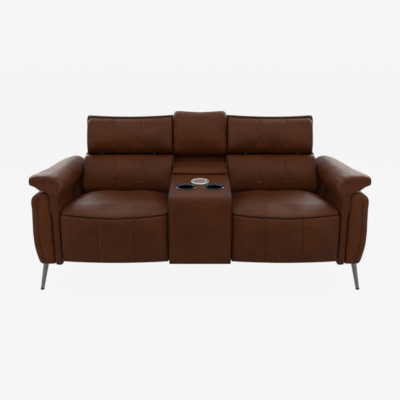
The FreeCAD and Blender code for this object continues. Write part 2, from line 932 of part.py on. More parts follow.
def headrest_section(x, inset, sink):
    """Headrest: turned under at the bottom, its top edge dipping in the middle."""
    reach = min(abs(across(x)), 1.0)
    low = float(dim.lumbar_top + dim.headrest_gap)
    high = float(dim.headrest_top) - float(dim.headrest_dip) * (1.0 - reach ** 2) - inset
    thick = float(dim.headrest_thickness) - inset - sink
    rear = float(dim.back_thickness) - inset / 2
    rise = float(head_rise)
    corners = [
        at(rear, low),
        at(-0.5 * thick, low),
        (at(-0.86 * thick, low + 0.043 * rise), at(-1.04 * thick, low + 0.165 * rise)),
        (at(-1.08 * thick, (low + high) / 2), at(-0.95 * thick, high - 0.227 * rise)),
        (at(-0.8 * thick, high - 0.063 * rise), at(-0.4 * thick, high)),
        (at(0.4 * rear, high + 1.0), at(0.84 * rear, high - 0.02 * rise)),
        (at(0.97 * rear, high - 0.043 * rise), at(rear, high - float(rear_corner))),
    ]
    return side_section(corners, x)


back_low_x = seat_in + dim.back_inset
back_high_x = seat_out - dim.back_outer_inset
head_high_x = back_high_x - dim.headrest_inset
hinge_y = frame_y(dim.lumbar_top) - float(dim.hinge_forward)
hinge_z = float(dim.lumbar_top + dim.headrest_gap / 2)
hinge_places = (seat_in + 120.0, seat_out - 150.0)
hinge_slot = 3.0
arm_plate = 4.0


def hinge_slots(name, heights, side):
    """Room for the headrest's hinge arms, cut into a cushion."""
    low_y = hinge_y - 14.0
    return fuse(name, [
        block(name + "_%d" % index, (x - hinge_slot, x + 2 * arm_plate + 2.0 + hinge_slot),
              (length(low_y), length(frame_y(dim.headrest_top))), heights, side)
        for index, x in enumerate(hinge_places)
    ])


def hinge_arm(name, x, rear_low, rear_high, side):
    """A plate from the frame's plane forward to the headrest's hinge, with a hole for its pin."""
    reach = 10.0
    corners = [
        (hinge_y - reach, hinge_z - 6.0), (hinge_y - 6.0, hinge_z - reach),
        (hinge_y + 6.0, hinge_z - reach) if rear_low > hinge_z - 40.0 else at(-40.0, hinge_z - reach),
        at(1.0, rear_low), at(1.0, rear_high),
        (hinge_y + 6.0, hinge_z + reach), (hinge_y - 6.0, hinge_z + reach), (hinge_y - reach, hinge_z + 6.0),
    ]
    face = Part.Face(side_section(corners, float(x)))
    return feature(name, on_side(face.extrude(FreeCAD.Vector(arm_plate, 0, 0)), side))


def build_rails(side, word):
    inner = block(word + "_inner_rail", (console_half, seat_in + dim.rail_width),
                  (-dim.rail_reach, dim.rail_reach), (dim.rail_bottom, rail_top), side)
    outer = block(word + "_outer_rail", (seat_out - dim.rail_width, slab_in),
                  (-dim.rail_reach, dim.rail_reach), (dim.rail_bottom, rail_top), side)
    tie = block(word + "_rail_tie", (seat_in + dim.rail_width, seat_out - dim.rail_width),
                (dim.rail_reach - 30.0, dim.rail_reach - 5.0), (dim.rail_bottom, dim.rail_bottom + 10.0), side)
    keep(fuse(word + "_rails", [inner, outer, tie]), word + "_base_rails")

    half = dim.motor_size / 2
    seat_of_motor = dim.rail_reach - 30.0 - dim.fit_gap
    motor_front = seat_of_motor - 100.0
    housing = block(word + "_recline_housing", (screw_x - half, screw_x + half),
                    (motor_front, seat_of_motor), (screw_height - 26.0, screw_height + 44.0), side)
    screw = rod(word + "_lead_screw", "y", (screw_x, -dim.seat_rear + 20.0, screw_height),
                motor_front + dim.seat_rear - 19.0, dim.screw_radius, side)
    keep(fuse(word + "_recline_drive", [housing, screw]), word + "_recline_motor")


def build_seat_frame(side, word):
    """Two steel side plates on sliders, tied by tubes, with the pins of the links and the back."""
    pieces = []
    post_top = dim.back_pivot_height + 25.0
    post_low, post_high = pivot_y - 28.0, pivot_y + 22.0
    plate_front = front_y + dim.plate_set
    profile = [
        (plate_front, dim.plate_bottom), (post_high, dim.plate_bottom), (post_high, post_top),
        (post_low, post_top), (post_low, dim.plate_top), (plate_front, dim.plate_top),
    ]
    for index, (low, high) in enumerate(both_ends(plate_offset, dim.plate_thickness)):
        pieces.append(plate_body("%s_side_plate_%d" % (word, index), profile, [], low,
                                 dim.plate_thickness, side))
    slider = plate_offset - 4.0
    for index, (low, high) in enumerate(both_ends(length(4.0), slider)):
        for place, slider_y in enumerate((front_tube_y + 70.0, dim.seat_rear - 10.0)):
            pieces.append(block("%s_slider_%d_%d" % (word, index, place), (low, high),
                                (slider_y, slider_y + 80.0),
                                (rail_top + dim.fit_gap, dim.plate_bottom + 14.0), side))
    tube_reach = dim.seat_width - (plate_offset + dim.plate_thickness) * 2 + 2.0
    for index, tube_y in enumerate((front_tube_y, rear_tube_y)):
        pieces.append(rod("%s_seat_tube_%d" % (word, index), "x",
                          (seat_in + plate_offset + dim.plate_thickness - 1.0, tube_y, tube_height),
                          tube_reach, dim.tube_radius, side))
    pin_reach = dim.link_gap + dim.link_thickness + 2.0
    pin_start = plate_offset + dim.plate_thickness - 1.0
    pieces += pins(word + "_link_pin", pin_start, root_y, root_z, pin_reach, dim.pin_radius, side)
    pieces += pins(word + "_back_pin", pin_start, pivot_y, dim.back_pivot_height, pin_reach,
                   dim.pin_radius, side)
    nut = block(word + "_screw_nut", (screw_x - 20.0, screw_x + 20.0),
                (rear_tube_y - 9.0, rear_tube_y + 9.0), (screw_height - 14.0, tube_height), side)
    bore = rod(word + "_screw_bore", "y", (screw_x, rear_tube_y - 20.0, screw_height), length(40.0),
               dim.screw_radius + 0.3, side)
    pieces.append(cut(word + "_screw_nut_bored", nut, bore))
    keep(fuse(word + "_carriage", pieces), word + "_seat_frame")


def build_springs(side, word):
    """Zigzag springs from the front tube to the rear one, under the cushion."""
    wire = float(dim.spring_wire)
    height = float(tube_height + dim.tube_radius) + wire + float(dim.fit_gap)
    y0, y1 = float(front_tube_y) - 8.0, float(rear_tube_y) + 8.0
    count = int(float(dim.spring_count))
    waves = 12
    swing = 20.0
    step = (y1 - y0) / waves
    wires = []
    for number in range(count):
        middle = float(seat_in) + float(dim.seat_width) * (number + 1) / (count + 1)
        places = [point(middle, y0, height)]
        for wave in range(waves):
            x = middle + (swing if wave % 2 else -swing)
            places += [point(x, y0 + step * (wave + 0.2), height), point(x, y0 + step * (wave + 0.8), height)]
        places.append(point(middle, y1, height))
        path = Part.makePolygon(places)
        profile = Part.Wire(Part.makeCircle(wire, places[0], places[1] - places[0]))
        wires.append(path.makePipeShell([profile], True, False, 2))
    keep(feature(word + "_springs", on_side(Part.makeCompound(wires), side)), word + "_seat_springs")


def build_footrest_drive(side, word):
    """The footrest's motor and guide rail under the cushion, and the nut that runs on the rail."""
    half = dim.motor_size / 2
    motor_rear = rear_tube_y - dim.tube_radius - dim.fit_gap
    motor_front = motor_rear - 83.0
    housing = block(word + "_footrest_housing", (motor_x - half, motor_x + half),
                    (motor_front, motor_rear), (tube_height - 76.0, tube_height + 4.0), side)
    rail_half = 14.0
    guide_front = front_tube_y + 80.0
    guide_low, guide_high = tube_height - 60.0, tube_height - 44.0
    guide = block(word + "_footrest_guide", (motor_x - rail_half, motor_x + rail_half),
                  (guide_front, motor_front + 1.0), (guide_low, guide_high), side)
    keep(fuse(word + "_footrest_drive", [housing, guide]), word + "_footrest_motor")
    slack = 0.4
    wall = 9.0
    nut_rear = motor_front - 12.0
    shell = block(word + "_nut_block", (motor_x - rail_half - wall, motor_x + rail_half + wall),
                  (nut_rear - 32.0, nut_rear), (guide_low - wall, guide_high + wall), side)
    hollow = block(word + "_nut_hollow", (motor_x - rail_half - slack, motor_x + rail_half + slack),
                   (nut_rear - 40.0, nut_rear + 8.0), (guide_low - slack, guide_high + slack), side)
    keep(cut(word + "_nut_shell", shell, hollow), word + "_footrest_nut")


def build_links(side, word):
    """Rear links hang from the seat frame, front links run on to the footrest board."""
    pieces = []
    spans = both_ends(rear_link_offset, dim.link_thickness)
    for index, (low, high) in enumerate(spans):
        pieces.append(flat_link("%s_rear_bar_%d" % (word, index), (link_root, knee), dim.link_width,
                                dim.link_thickness, pin_hole, low, side))
    tie = polar(link_root, 60.0, -float(dim.rear_link_angle))
    pieces.append(rod(word + "_link_tie", "x", (spans[0][1] - 1.0, length(tie[0]), length(tie[1])),
                      spans[1][0] - spans[0][1] + 2.0, length(8.0), side))
    knee_reach = dim.link_gap + dim.link_thickness + 2.0
    pieces += pins(word + "_knee_pin", rear_link_offset + dim.link_thickness - 1.0, length(knee[0]),
                   length(knee[1]), knee_reach, dim.pin_radius, side)
    keep(fuse(word + "_rear_link_set", pieces), word + "_rear_links")

    pieces = []
    for index, (low, high) in enumerate(both_ends(front_link_offset, dim.link_thickness)):
        pieces.append(flat_link("%s_front_bar_%d" % (word, index), (knee, toe), dim.link_width,
                                dim.link_thickness, pin_hole, low, side))
    pieces += pins(word + "_toe_pin", front_link_offset + dim.link_thickness - 1.0, length(toe[0]),
                   length(toe[1]), knee_reach, dim.pin_radius, side)
    keep(fuse(word + "_front_link_set", pieces), word + "_front_links")


def build_footrest(side, word):
    """A board on two brackets behind a padded leather panel."""
    board = block(word + "_footboard", (seat_in + 2.0, seat_out - 2.0), (pad_back, board_back),
                  (dim.panel_bottom + 10.0, dim.welt_height - 16.0), side)
    pieces = [board]
    reach = 15.0
    for index, (low, high) in enumerate(both_ends(bracket_offset, dim.link_thickness)):
        corners = [
            (board_back - 1.0, length(toe[1] - 22.0)), (length(toe[0] + reach), length(toe[1] - reach)),
            (length(toe[0] + reach), length(toe[1] + reach)), (board_back - 1.0, length(toe[1] + 22.0)),
        ]
        pieces.append(plate_body("%s_foot_bracket_%d" % (word, index), corners,
                                 [(toe[0], toe[1], pin_hole)], low, dim.link_thickness, side))
    keep(fuse(word + "_footrest_base", pieces), word + "_footrest_board")
    keep(cushion(word + "_footrest_form", pad_section, seat_in + 1.0, seat_out - 1.0,
                 (dim.seat_channel_inner, dim.seat_channel_outer), side), word + "_footrest_pad")


def build_back(side, word):
    """Steel back frame on the rear pins, lumbar cushion in front, leather shell behind."""
    low_x, high_x = back_low_x + 26.0, back_high_x - 16.0
    upright = 26.0
    thick = dim.frame_thickness
    foot_z = dim.back_pivot_height + 16.0
    top_z = dim.lumbar_top - 6.0
    pieces = [
        leaning(word + "_upright_in", (low_x, low_x + upright), (0, thick), (foot_z, top_z), side),
        leaning(word + "_upright_out", (high_x - upright, high_x), (0, thick), (foot_z, top_z), side),
        leaning(word + "_bar_low", (low_x + 1.0, high_x - 1.0), (0, thick), (foot_z + 24.0, foot_z + 54.0), side),
        leaning(word + "_bar_high", (low_x + 1.0, high_x - 1.0), (0, thick), (top_z - 34.0, top_z - 4.0), side),
    ]
    bracket_spans = both_ends(rear_link_offset, dim.link_thickness)
    reach = 16.0
    jog_low, jog_high = dim.back_pivot_height - 2.0, dim.back_pivot_height + 26.0
    profile = [
        (pivot_y - reach, dim.back_pivot_height - reach),
        (pivot_y + reach, dim.back_pivot_height - reach),
        (length(frame_y(jog_low)) + 22.0, jog_low),
        (length(frame_y(jog_high)) + 20.0, jog_high),
        (pivot_y - reach, jog_high),
    ]
    for index, (low, high) in enumerate(bracket_spans):
        pieces.append(plate_body("%s_back_bracket_%d" % (word, index), profile,
                                 [(pivot_y, dim.back_pivot_height, pin_hole)], low,
                                 dim.link_thickness, side))
    pieces.append(leaning(word + "_jog_in", (bracket_spans[0][0], low_x + upright), (0, thick - 4.0),
                          (jog_low + 4.0, jog_high), side))
    pieces.append(leaning(word + "_jog_out", (high_x - upright, bracket_spans[1][1]), (0, thick - 4.0),
                          (jog_low + 4.0, jog_high), side))
    for index, x in enumerate(hinge_places):
        arm = hinge_arm("%s_back_arm_%d" % (word, index), x, float(top_z) - 34.0, float(top_z) - 4.0, side)
        pin = rod("%s_head_pin_%d" % (word, index), "x",
                  (x + arm_plate - 1.0, length(hinge_y), length(hinge_z)),
                  length(arm_plate + 3.5), length(4.0), side)
        pieces += [arm, pin]
    keep(fuse(word + "_back_frame_set", pieces), word + "_back_frame")

    form = cushion(word + "_lumbar_form", lumbar_section, back_low_x, back_high_x,
                   (dim.back_channel_inner, dim.back_channel_outer), side)
    slots = hinge_slots(word + "_lumbar_slots", (dim.lumbar_top - 46.0, dim.lumbar_top + 5.0), side)
    keep(cut(word + "_lumbar", form, slots), word + "_lumbar_cushion")

    wall = dim.cover_thickness
    deep = dim.back_thickness
    heights = (dim.cover_bottom, dim.lumbar_top - 2.0)
    shell = fuse(word + "_cover_set", [
        leaning(word + "_cover_in", (back_low_x, back_low_x + wall), (0, deep), heights, side),
        leaning(word + "_cover_out", (back_high_x - wall, back_high_x), (0, deep), heights, side),
        leaning(word + "_cover_rear", (back_low_x + 1.0, back_high_x - 1.0), (deep - wall, deep), heights, side),
    ])
    keep(shell, word + "_back_cover")

    half = dim.motor_size / 2
    gap = dim.fit_gap
    motor_z = dim.lumbar_top - 160.0
    keep(fuse(word + "_headrest_drive", [
        leaning(word + "_headrest_housing", (motor_x - half, motor_x + half), (thick + gap, thick + 66.0),
                (motor_z, top_z - 8.0), side),
        leaning(word + "_headrest_tube", (motor_x - 12.0, motor_x + 12.0), (thick + 22.0, thick + 46.0),
                (dim.back_pivot_height + 60.0, motor_z + 1.0), side),
    ]), word + "_headrest_motor")


def build_headrest(side, word):
    """Steel panel on two hinge arms inside an upholstered headrest."""
    low_z = dim.lumbar_top + dim.headrest_gap + 14.0
    high_z = dim.headrest_top - head_rise * 4.0 / 17.0
    panel_depths = (0.0, 18.0)
    panel_xs = (back_low_x + 44.0, head_high_x - 44.0)
    pieces = [leaning(word + "_head_panel", panel_xs, panel_depths, (low_z, high_z), side)]
    bores = []
    for index, x in enumerate(hinge_places):
        start = x + arm_plate + 2.0
        pieces.append(hinge_arm("%s_head_arm_%d" % (word, index), start, float(low_z), float(low_z) + 30.0, side))
        bores.append(rod("%s_head_bore_%d" % (word, index), "x",
                         (start - 1.0, length(hinge_y), length(hinge_z)), length(arm_plate + 2.0),
                         length(4.1), side))
    keep(cut(word + "_head_frame_set", fuse(word + "_head_frame_solid", pieces),
             group(word + "_head_bores", bores)), word + "_headrest_frame")
    form = cushion(word + "_headrest_form", headrest_section, back_low_x, head_high_x,
                   (dim.back_channel_inner, dim.back_channel_outer), side)
    slots = hinge_slots(word + "_headrest_slots",
                        (dim.lumbar_top, dim.lumbar_top + dim.headrest_gap + 56.0), side)
    core = leaning(word + "_head_core", panel_xs, panel_depths, (low_z, high_z), side)
    keep(cut(word + "_headrest_shell", form, fuse(word + "_headrest_room", [slots, core])),
         word + "_headrest_cushion")


def build_controls(side, word):
    """The control panel in the arm's inner face and its two rockers."""
    spans = control_spans()
    plate = block(word + "_control_block", *spans, side=side)
    slack = 0.8
    tall = dim.rocker_height / 2
    sockets = []
    for name, shift in (("recline", -0.5), ("headrest", 0.5)):
        middle = -dim.panel_place + dim.rocker_spacing * shift
        long_half = dim.rocker_length / 2
        sockets.append(block("%s_%s_socket" % (word, name), (slab_in - 4.0, board_in - 2.0),
                             (middle - long_half - slack, middle + long_half + slack),
                             (dim.panel_middle - tall - slack, dim.panel_middle + tall + slack), side))
        body = new_body("%s_%s_rocker_body" % (word, name))
        sketch = sketch_on(body, "XY_Plane", "%s_%s_rocker_outline" % (word, name))
        outline(sketch, [
            (length(-6.0 * side), -long_half), (length(6.0 * side), -long_half),
            (length(6.0 * side), long_half), (length(-6.0 * side), long_half),
            (length(-4.6 * side), length(0)),
        ])
        pad(body, sketch, dim.rocker_height, "%s_%s_rocker_pad" % (word, name))
        place(body, slab_in * side, middle, dim.panel_middle - tall)
        keep(body, "%s_%s_rocker" % (word, name))
    keep(cut(word + "_control_shell", plate, fuse(word + "_sockets", sockets)), word + "_control_panel")


for side, word in SIDES:
    build_rails(side, word)
    build_seat_frame(side, word)
    build_springs(side, word)
    keep(cushion(word + "_seat_form", seat_section, seat_in, seat_out, (), side,
                 (0.18, 0.34, 0.5, 0.66, 0.82)), word + "_seat_cushion")
    build_footrest_drive(side, word)
    build_links(side, word)
    build_footrest(side, word)
    build_back(side, word)
    build_headrest(side, word)
    build_controls(side, word)


# Check every object, then write each sub-part to its own file.
doc.recompute()
for obj in doc.Objects:
    faults = [state for state in obj.State if state in ("Invalid", "Error")]
    if faults:
        raise RuntimeError(obj.Label + " is " + ", ".join(faults))
for obj in sub_parts:
    if obj.Shape.isNull() or not obj.Shape.isValid():
        raise RuntimeError(obj.Label + " has no valid shape")
os.makedirs("parts", exist_ok=True)
for obj in sub_parts:
    obj.Shape.exportStep(os.path.join("parts", obj.Label + ".step"))
    print(obj.Label, len(obj.Shape.Solids), round(obj.Shape.Volume))
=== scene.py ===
"""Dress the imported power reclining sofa: leather cushions, console, legs and the studio round it.

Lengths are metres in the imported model's frame: X to the right, the front faces -Y, Z up.
Pieces are worked out for the right half, and each right_ piece gets a mirrored left_ twin.
"""
import logging
import math
from dataclasses import dataclass
from enum import Enum
from typing import Callable, Mapping, Optional, Sequence

import bpy
import numpy as np
from mathutils import Euler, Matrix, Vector


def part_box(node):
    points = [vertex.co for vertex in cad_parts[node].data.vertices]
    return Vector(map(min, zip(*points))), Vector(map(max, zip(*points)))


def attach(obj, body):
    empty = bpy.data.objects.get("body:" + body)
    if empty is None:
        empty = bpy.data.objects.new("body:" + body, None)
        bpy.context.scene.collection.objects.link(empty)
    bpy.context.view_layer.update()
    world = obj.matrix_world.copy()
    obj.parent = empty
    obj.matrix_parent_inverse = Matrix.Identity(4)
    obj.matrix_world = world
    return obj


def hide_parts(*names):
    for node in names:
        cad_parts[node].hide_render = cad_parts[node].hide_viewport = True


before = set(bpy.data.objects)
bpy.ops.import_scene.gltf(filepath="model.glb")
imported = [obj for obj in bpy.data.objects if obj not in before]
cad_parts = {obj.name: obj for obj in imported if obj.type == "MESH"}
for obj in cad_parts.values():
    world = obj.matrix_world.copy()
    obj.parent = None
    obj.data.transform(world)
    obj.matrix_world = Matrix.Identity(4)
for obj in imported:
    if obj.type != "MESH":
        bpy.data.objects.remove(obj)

Array = np.ndarray
Span = tuple[float, float]
Place = tuple[float, float, float]
Section = Callable[[float], Array]

log = logging.getLogger("sofa")
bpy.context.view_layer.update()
QUARTER_TURN = 0.5 * np.pi
FULL_TURN = 2.0 * np.pi
TINY = 1e-12


class Side(Enum):
    """The two mirrored halves of the sofa."""

    LEFT = -1
    RIGHT = 1

    @property
    def word(self) -> str:
        """The side's word in a lamp's name."""
        return self.name.lower()


@dataclass(frozen=True)
class Plan:
    """Shared places of the sofa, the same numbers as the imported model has."""

    console_half: float = 0.180
    seat_in: float = 0.184
    seat_out: float = 0.800
    seat_middle: float = 0.492
    seat_half: float = 0.308
    slab_in: float = 0.804
    slab_out: float = 0.850
    front: float = -0.480
    lean: float = math.tan(math.radians(13.0))
    frame_foot: float = 0.148405
    pivot_height: float = 0.400

    def frame_y(self, z: Array) -> Array:
        """Depth of the leaning back frame's front plane at a height."""
        return self.frame_foot + (z - self.pivot_height) * self.lean

    def at(self, depth: float, z: float) -> tuple[float, float]:
        """A (y, z) point a depth behind the leaning plane."""
        return self.frame_y(z) + depth, z

    def across(self, x: Array) -> Array:
        """Place across a seat, from -1 at the console to 1 at the arm."""
        return (x - self.seat_middle) / self.seat_half

    def from_middle(self, x: float) -> float:
        """How far across from the seat's middle a place is, from 0 to 1 at either end."""
        return min(abs(float(self.across(x))), 1.0)


PLAN = Plan()


# ---------------------------------------------------------------- meshes
def grid_faces(rows: int, columns: int, wrap: bool) -> Array:
    """Quads between neighbouring rows and columns of a point grid.

    Args:
        rows: number of point rows.
        columns: points in each row.
        wrap: whether the last column joins the first.

    Returns:
        An (n, 4) array of indices into the flattened grid.
    """
    row, column = np.meshgrid(np.arange(rows - 1), np.arange(columns if wrap else columns - 1), indexing="ij")
    follow = (column + 1) % columns
    here, there = row * columns, (row + 1) * columns
    return np.stack([here + column, here + follow, there + follow, there + column], -1).reshape(-1, 4)


def shade(mesh: bpy.types.Mesh, smooth: bool) -> None:
    """Shade every face of a mesh smooth or flat."""
    mesh.polygons.foreach_set("use_smooth", np.full(len(mesh.polygons), smooth))


def add_mesh(name: str, points: Array, quads: Array, fans: Optional[Array] = None) -> bpy.types.Object:
    """Put computed points and faces into a new smooth-shaded object.

    Args:
        name: the piece's name.
        points: (n, 3) places in metres.
        quads: (m, 4) faces.
        fans: (k, 3) closing triangles, if there are any.

    Returns:
        The object, at the origin, with its faces turned outwards.
    """
    triangles = np.zeros((0, 3), int) if fans is None else fans
    loops = np.concatenate([quads.ravel(), triangles.ravel()]).astype(np.int32)
    sizes = np.concatenate([np.full(len(quads), 4), np.full(len(triangles), 3)]).astype(np.int32)
    mesh = bpy.data.meshes.new(name)
    mesh.vertices.add(len(points))
    mesh.vertices.foreach_set("co", np.asarray(points, np.float32).ravel())
    mesh.loops.add(len(loops))
    mesh.loops.foreach_set("vertex_index", loops)
    mesh.polygons.add(len(sizes))
    mesh.polygons.foreach_set("loop_start", (np.cumsum(sizes) - sizes).astype(np.int32))
    mesh.update(calc_edges=True)
    mesh.validate()
    shade(mesh, True)
    if signed_volume(mesh) < 0.0:
        mesh.flip_normals()
    piece = bpy.data.objects.new(name, mesh)
    bpy.context.scene.collection.objects.link(piece)
    return piece


def signed_volume(mesh: bpy.types.Mesh) -> float:
    """Volume inside a closed mesh: the sum of a . (b x c) / 6 over its triangles.

    Args:
        mesh: the mesh to measure.

    Returns:
        The volume, negative when the faces point inwards.
    """
    mesh.calc_loop_triangles()
    corners = np.empty(len(mesh.loop_triangles) * 3, np.int32)
    mesh.loop_triangles.foreach_get("vertices", corners)
    a, b, c = read_points(mesh)[corners.reshape(-1, 3)].transpose(1, 0, 2)
    return float(np.einsum("ij,ij->i", a, np.cross(b, c)).sum() / 6.0)


def read_vectors(items: bpy.types.bpy_prop_collection, key: str) -> Array:
    """A vector of each item of a mesh's collection, as an (n, 3) array."""
    flat = np.empty(len(items) * 3, np.float32)
    items.foreach_get(key, flat)
    return flat.reshape(-1, 3).astype(float)


def read_points(mesh: bpy.types.Mesh) -> Array:
    """The mesh's vertices as an (n, 3) array."""
    return read_vectors(mesh.vertices, "co")


def read_normals(mesh: bpy.types.Mesh) -> Array:
    """The mesh's vertex normals as an (n, 3) array."""
    return read_vectors(mesh.vertex_normals, "vector")


def write_points(mesh: bpy.types.Mesh, points: Array) -> None:
    """Move the mesh's vertices to an (n, 3) array of places."""
    mesh.vertices.foreach_set("co", np.asarray(points, np.float32).ravel())
    mesh.update()


def close_loft(name: str, rings: Array) -> bpy.types.Object:
    """A closed surface through rings of equally many points, each end closed by a fan.

    Args:
        name: the piece's name.
        rings: (rows, columns, 3) places.

    Returns:
        The new object.
    """
    rows, columns = rings.shape[:2]
    caps = np.stack([rings[0].mean(0), rings[-1].mean(0)])
    points = np.concatenate([rings.reshape(-1, 3), caps])
    index = np.arange(columns)
    follow = (index + 1) % columns
    last = (rows - 1) * columns
    first_fan = np.stack([follow, index, np.full(columns, rows * columns)], 1)
    last_fan = np.stack([last + index, last + follow, np.full(columns, rows * columns + 1)], 1)
    return add_mesh(name, points, grid_faces(rows, columns, True), np.concatenate([first_fan, last_fan]))


# ---------------------------------------------------------------- outlines and paths
def unit(vectors: Array) -> Array:
    """Vectors of length one."""
    return vectors / (np.linalg.norm(vectors, axis=1, keepdims=True) + TINY)


def run_along(path: Array) -> Array:
    """Distance travelled at each point of a path, from 0."""
    return np.concatenate([[0.0], np.cumsum(np.linalg.norm(np.diff(path, axis=0), axis=1))])


def sampled(path: Array, run: Array, places: Array) -> Array:
    """Points of a path at given distances along its run."""
    return np.stack([np.interp(places, run, column) for column in path.T], 1)


def slackened(path: Array, reach: int) -> Array:
    """A line evened out: each point becomes the Hann-weighted mean of the odd number of points round it."""
    window = np.hanning(reach + 2)[1:-1]
    window /= window.sum()
    half = reach // 2
    return np.stack([np.convolve(np.pad(column, half, mode="edge"), window, "valid") for column in path.T], 1)


def turning(loop: Array) -> float:
    """1 for an outline that runs anticlockwise and -1 for a clockwise one, from its signed area."""
    u, v = loop[:, 0], loop[:, 1]
    return np.sign(np.sum(u * np.roll(v, -1) - np.roll(u, -1) * v))


def soft_loop(corners: Sequence[Span], bows: Sequence[float], softness: float, count: int) -> Array:
    """A closed outline: a polygon whose sides bow outwards, softened along its length.

    Side i runs from corner i to the next and bows by the parabola 4 b t (1 - t).
    The outline is set out evenly by arc length and convolved with a Gaussian,
    which in the Fourier domain multiplies wave number k by exp(-(k s)^2 / 2).

    Args:
        corners: polygon corners as (u, v).
        bows: how far each side's middle stands out.
        softness: the Gaussian's spread, in metres of arc length.
        count: points on the outline.

    Returns:
        A (count, 2) array.
    """
    here = np.array(corners, float)
    side = np.roll(here, -1, 0) - here
    outward = np.stack([side[:, 1], -side[:, 0]], 1) / np.linalg.norm(side, axis=1, keepdims=True) * turning(here)
    t = np.linspace(0.0, 1.0, 48, endpoint=False)[None, :, None]
    bow = np.asarray(bows, float)[:, None, None]
    path = (here[:, None] + side[:, None] * t + outward[:, None] * 4.0 * bow * t * (1.0 - t)).reshape(-1, 2)
    path = np.vstack([path, path[:1]])
    run = run_along(path)
    even = sampled(path, run, np.linspace(0.0, run[-1], count, endpoint=False))
    waves = np.fft.rfftfreq(count, run[-1] / count) * FULL_TURN
    damping = np.exp(-0.5 * (waves * softness) ** 2)[:, None]
    return np.fft.irfft(np.fft.rfft(even, axis=0) * damping, count, axis=0)


def drawn_in(loop: Array, inset: float) -> Array:
    """The outline moved inwards along its own normals by an inset."""
    along = np.roll(loop, -1, 0) - np.roll(loop, 1, 0)
    normal = unit(np.stack([along[:, 1], -along[:, 0]], 1))
    return loop - normal * inset * turning(loop)


def end_insets(radius: float, steps: int) -> tuple[Array, Array]:
    """Quarter-round end: ring i lies r (1 - cos a) in from the end and is drawn in by r (1 - sin a).

    Args:
        radius: the end's radius r.
        steps: number of rings, with a from 0 to 90 degrees.

    Returns:
        How far in from the end each ring is, and how far it is drawn in.
    """
    angle = np.linspace(0.0, QUARTER_TURN, steps)
    return radius * (1.0 - np.cos(angle)), radius * (1.0 - np.sin(angle))


def padded_rings(section: Section, span: Span, end: float, count: int, first_end: Optional[float] = None,
                 steps: int = 7, axis: int = 0) -> Array:
    """Rings of a section carried along an axis, with quarter-round ends.

    Args:
        section: the outline at a place on the axis, in the other two coordinates.
        span: where the rings begin and end on the axis.
        end: radius of the ends.
        count: stations from one end's full section to the other's.
        first_end: radius of the first end, if it is another.
        steps: rings in each rounded end.
        axis: 0 to carry the section along X, 1 along Y.

    Returns:
        (rows, columns, 3) places.
    """
    near, near_in = end_insets(first_end or end, steps)
    far, far_in = end_insets(end, steps)
    middle = np.linspace(span[0] + near[-1], span[1] - far[-1], count)[1:-1]
    places = np.concatenate([span[0] + near, middle, (span[1] - far)[::-1]])
    insets = np.concatenate([near_in, np.zeros(count - 2), far_in[::-1]])
    loops = np.stack([drawn_in(section(float(place)), inset) for place, inset in zip(places, insets)])
    return np.insert(loops, axis, places[:, None], axis=2)


def circles(ahead: Array, angle: Array) -> Array:
    """Unit circles square to unit directions: cos a . n + sin a . b.

    The normal n and binormal b are kept upright from the world's least parallel axis.

    Args:
        ahead: (n, 3) unit directions.
        angle: the angles a of the circles' points.

    Returns:
        (n, angles, 3) offsets.
    """
    spare = np.eye(3)[np.argmin(np.abs(ahead).mean(0))]
    normal = unit(np.cross(ahead, spare))
    binormal = np.cross(ahead, normal)
    return np.cos(angle)[None, :, None] * normal[:, None] + np.sin(angle)[None, :, None] * binormal[:, None]


def sweep(name: str, path: Array, radius: float, sides: int = 8) -> bpy.types.Object:
    """A tube along a path, its radius r sqrt(1 - (2s - 1)^40) rounding off the tips at s = 0 and 1.

    Args:
        name: the piece's name.
        path: (n, 3) points.
        radius: the tube's radius r.
        sides: points round the tube.

    Returns:
        The new object.
    """
    share = np.linspace(0.0, 1.0, len(path))
    size = radius * np.sqrt(np.clip(1.0 - (2.0 * share - 1.0) ** 40, 0.02, 1.0))[:, None, None]
    ring = circles(unit(np.gradient(path, axis=0)), np.linspace(0.0, FULL_TURN, sides, endpoint=False))
    return close_loft(name, path[:, None] + size * ring)


@dataclass(frozen=True)
class Stitch:
    """A thread stitch, a small spindle, and the row that it repeats in."""

    spacing: float = 0.0075
    reach: float = 0.0048
    radius: float = 0.0008
    peek: float = 1e-4

    def row(self, name: str, path: Array) -> bpy.types.Object:
        """Stitches along a path: each has three four-point rings, of radius r (0.35, 1, 0.35) over its reach.

        Args:
            name: the piece's name.
            path: (n, 3) line that the row follows.

        Returns:
            The row as one object.
        """
        run = run_along(path)
        places = np.arange(self.spacing / 2, run[-1], self.spacing)
        middle = sampled(path, run, places)
        ahead = unit(sampled(path, run, places + self.peek) - sampled(path, run, places - self.peek))
        ring = circles(ahead, np.array([0.25, 0.75, 1.25, 1.75]) * np.pi)
        offsets, shares = np.array([-0.5, 0.0, 0.5]) * self.reach, np.array([0.35, 1.0, 0.35]) * self.radius
        points = (middle[:, None, None] + ahead[:, None, None] * offsets[None, :, None, None]
                  + ring[:, None] * shares[None, :, None, None]).reshape(-1, 3)
        spindle = np.concatenate([grid_faces(3, 4, True), [[3, 2, 1, 0], [8, 9, 10, 11]]])
        quads = (spindle[None] + np.arange(len(middle))[:, None, None] * 12).reshape(-1, 4)
        return add_mesh(name, points, quads)


def left_name(name: str) -> str:
    """The left half's name for a right one; names without a side stay."""
    return name.replace("right_", "left_")


def twin_of(piece: bpy.types.Object) -> bpy.types.Object:
    """The right piece's left twin: X is negated and the faces stay outward."""
    twin = bpy.data.objects.new(left_name(piece.name), piece.data.copy())
    bpy.context.scene.collection.objects.link(twin)
    write_points(twin.data, read_points(twin.data) * (-1.0, 1.0, 1.0))
    twin.data.flip_normals()
    return twin


# ---------------------------------------------------------------- finishes
Socket = bpy.types.NodeSocket
Number = float | Socket
Inputs = Mapping[str | int, object]
Colour = tuple[float, float, float]


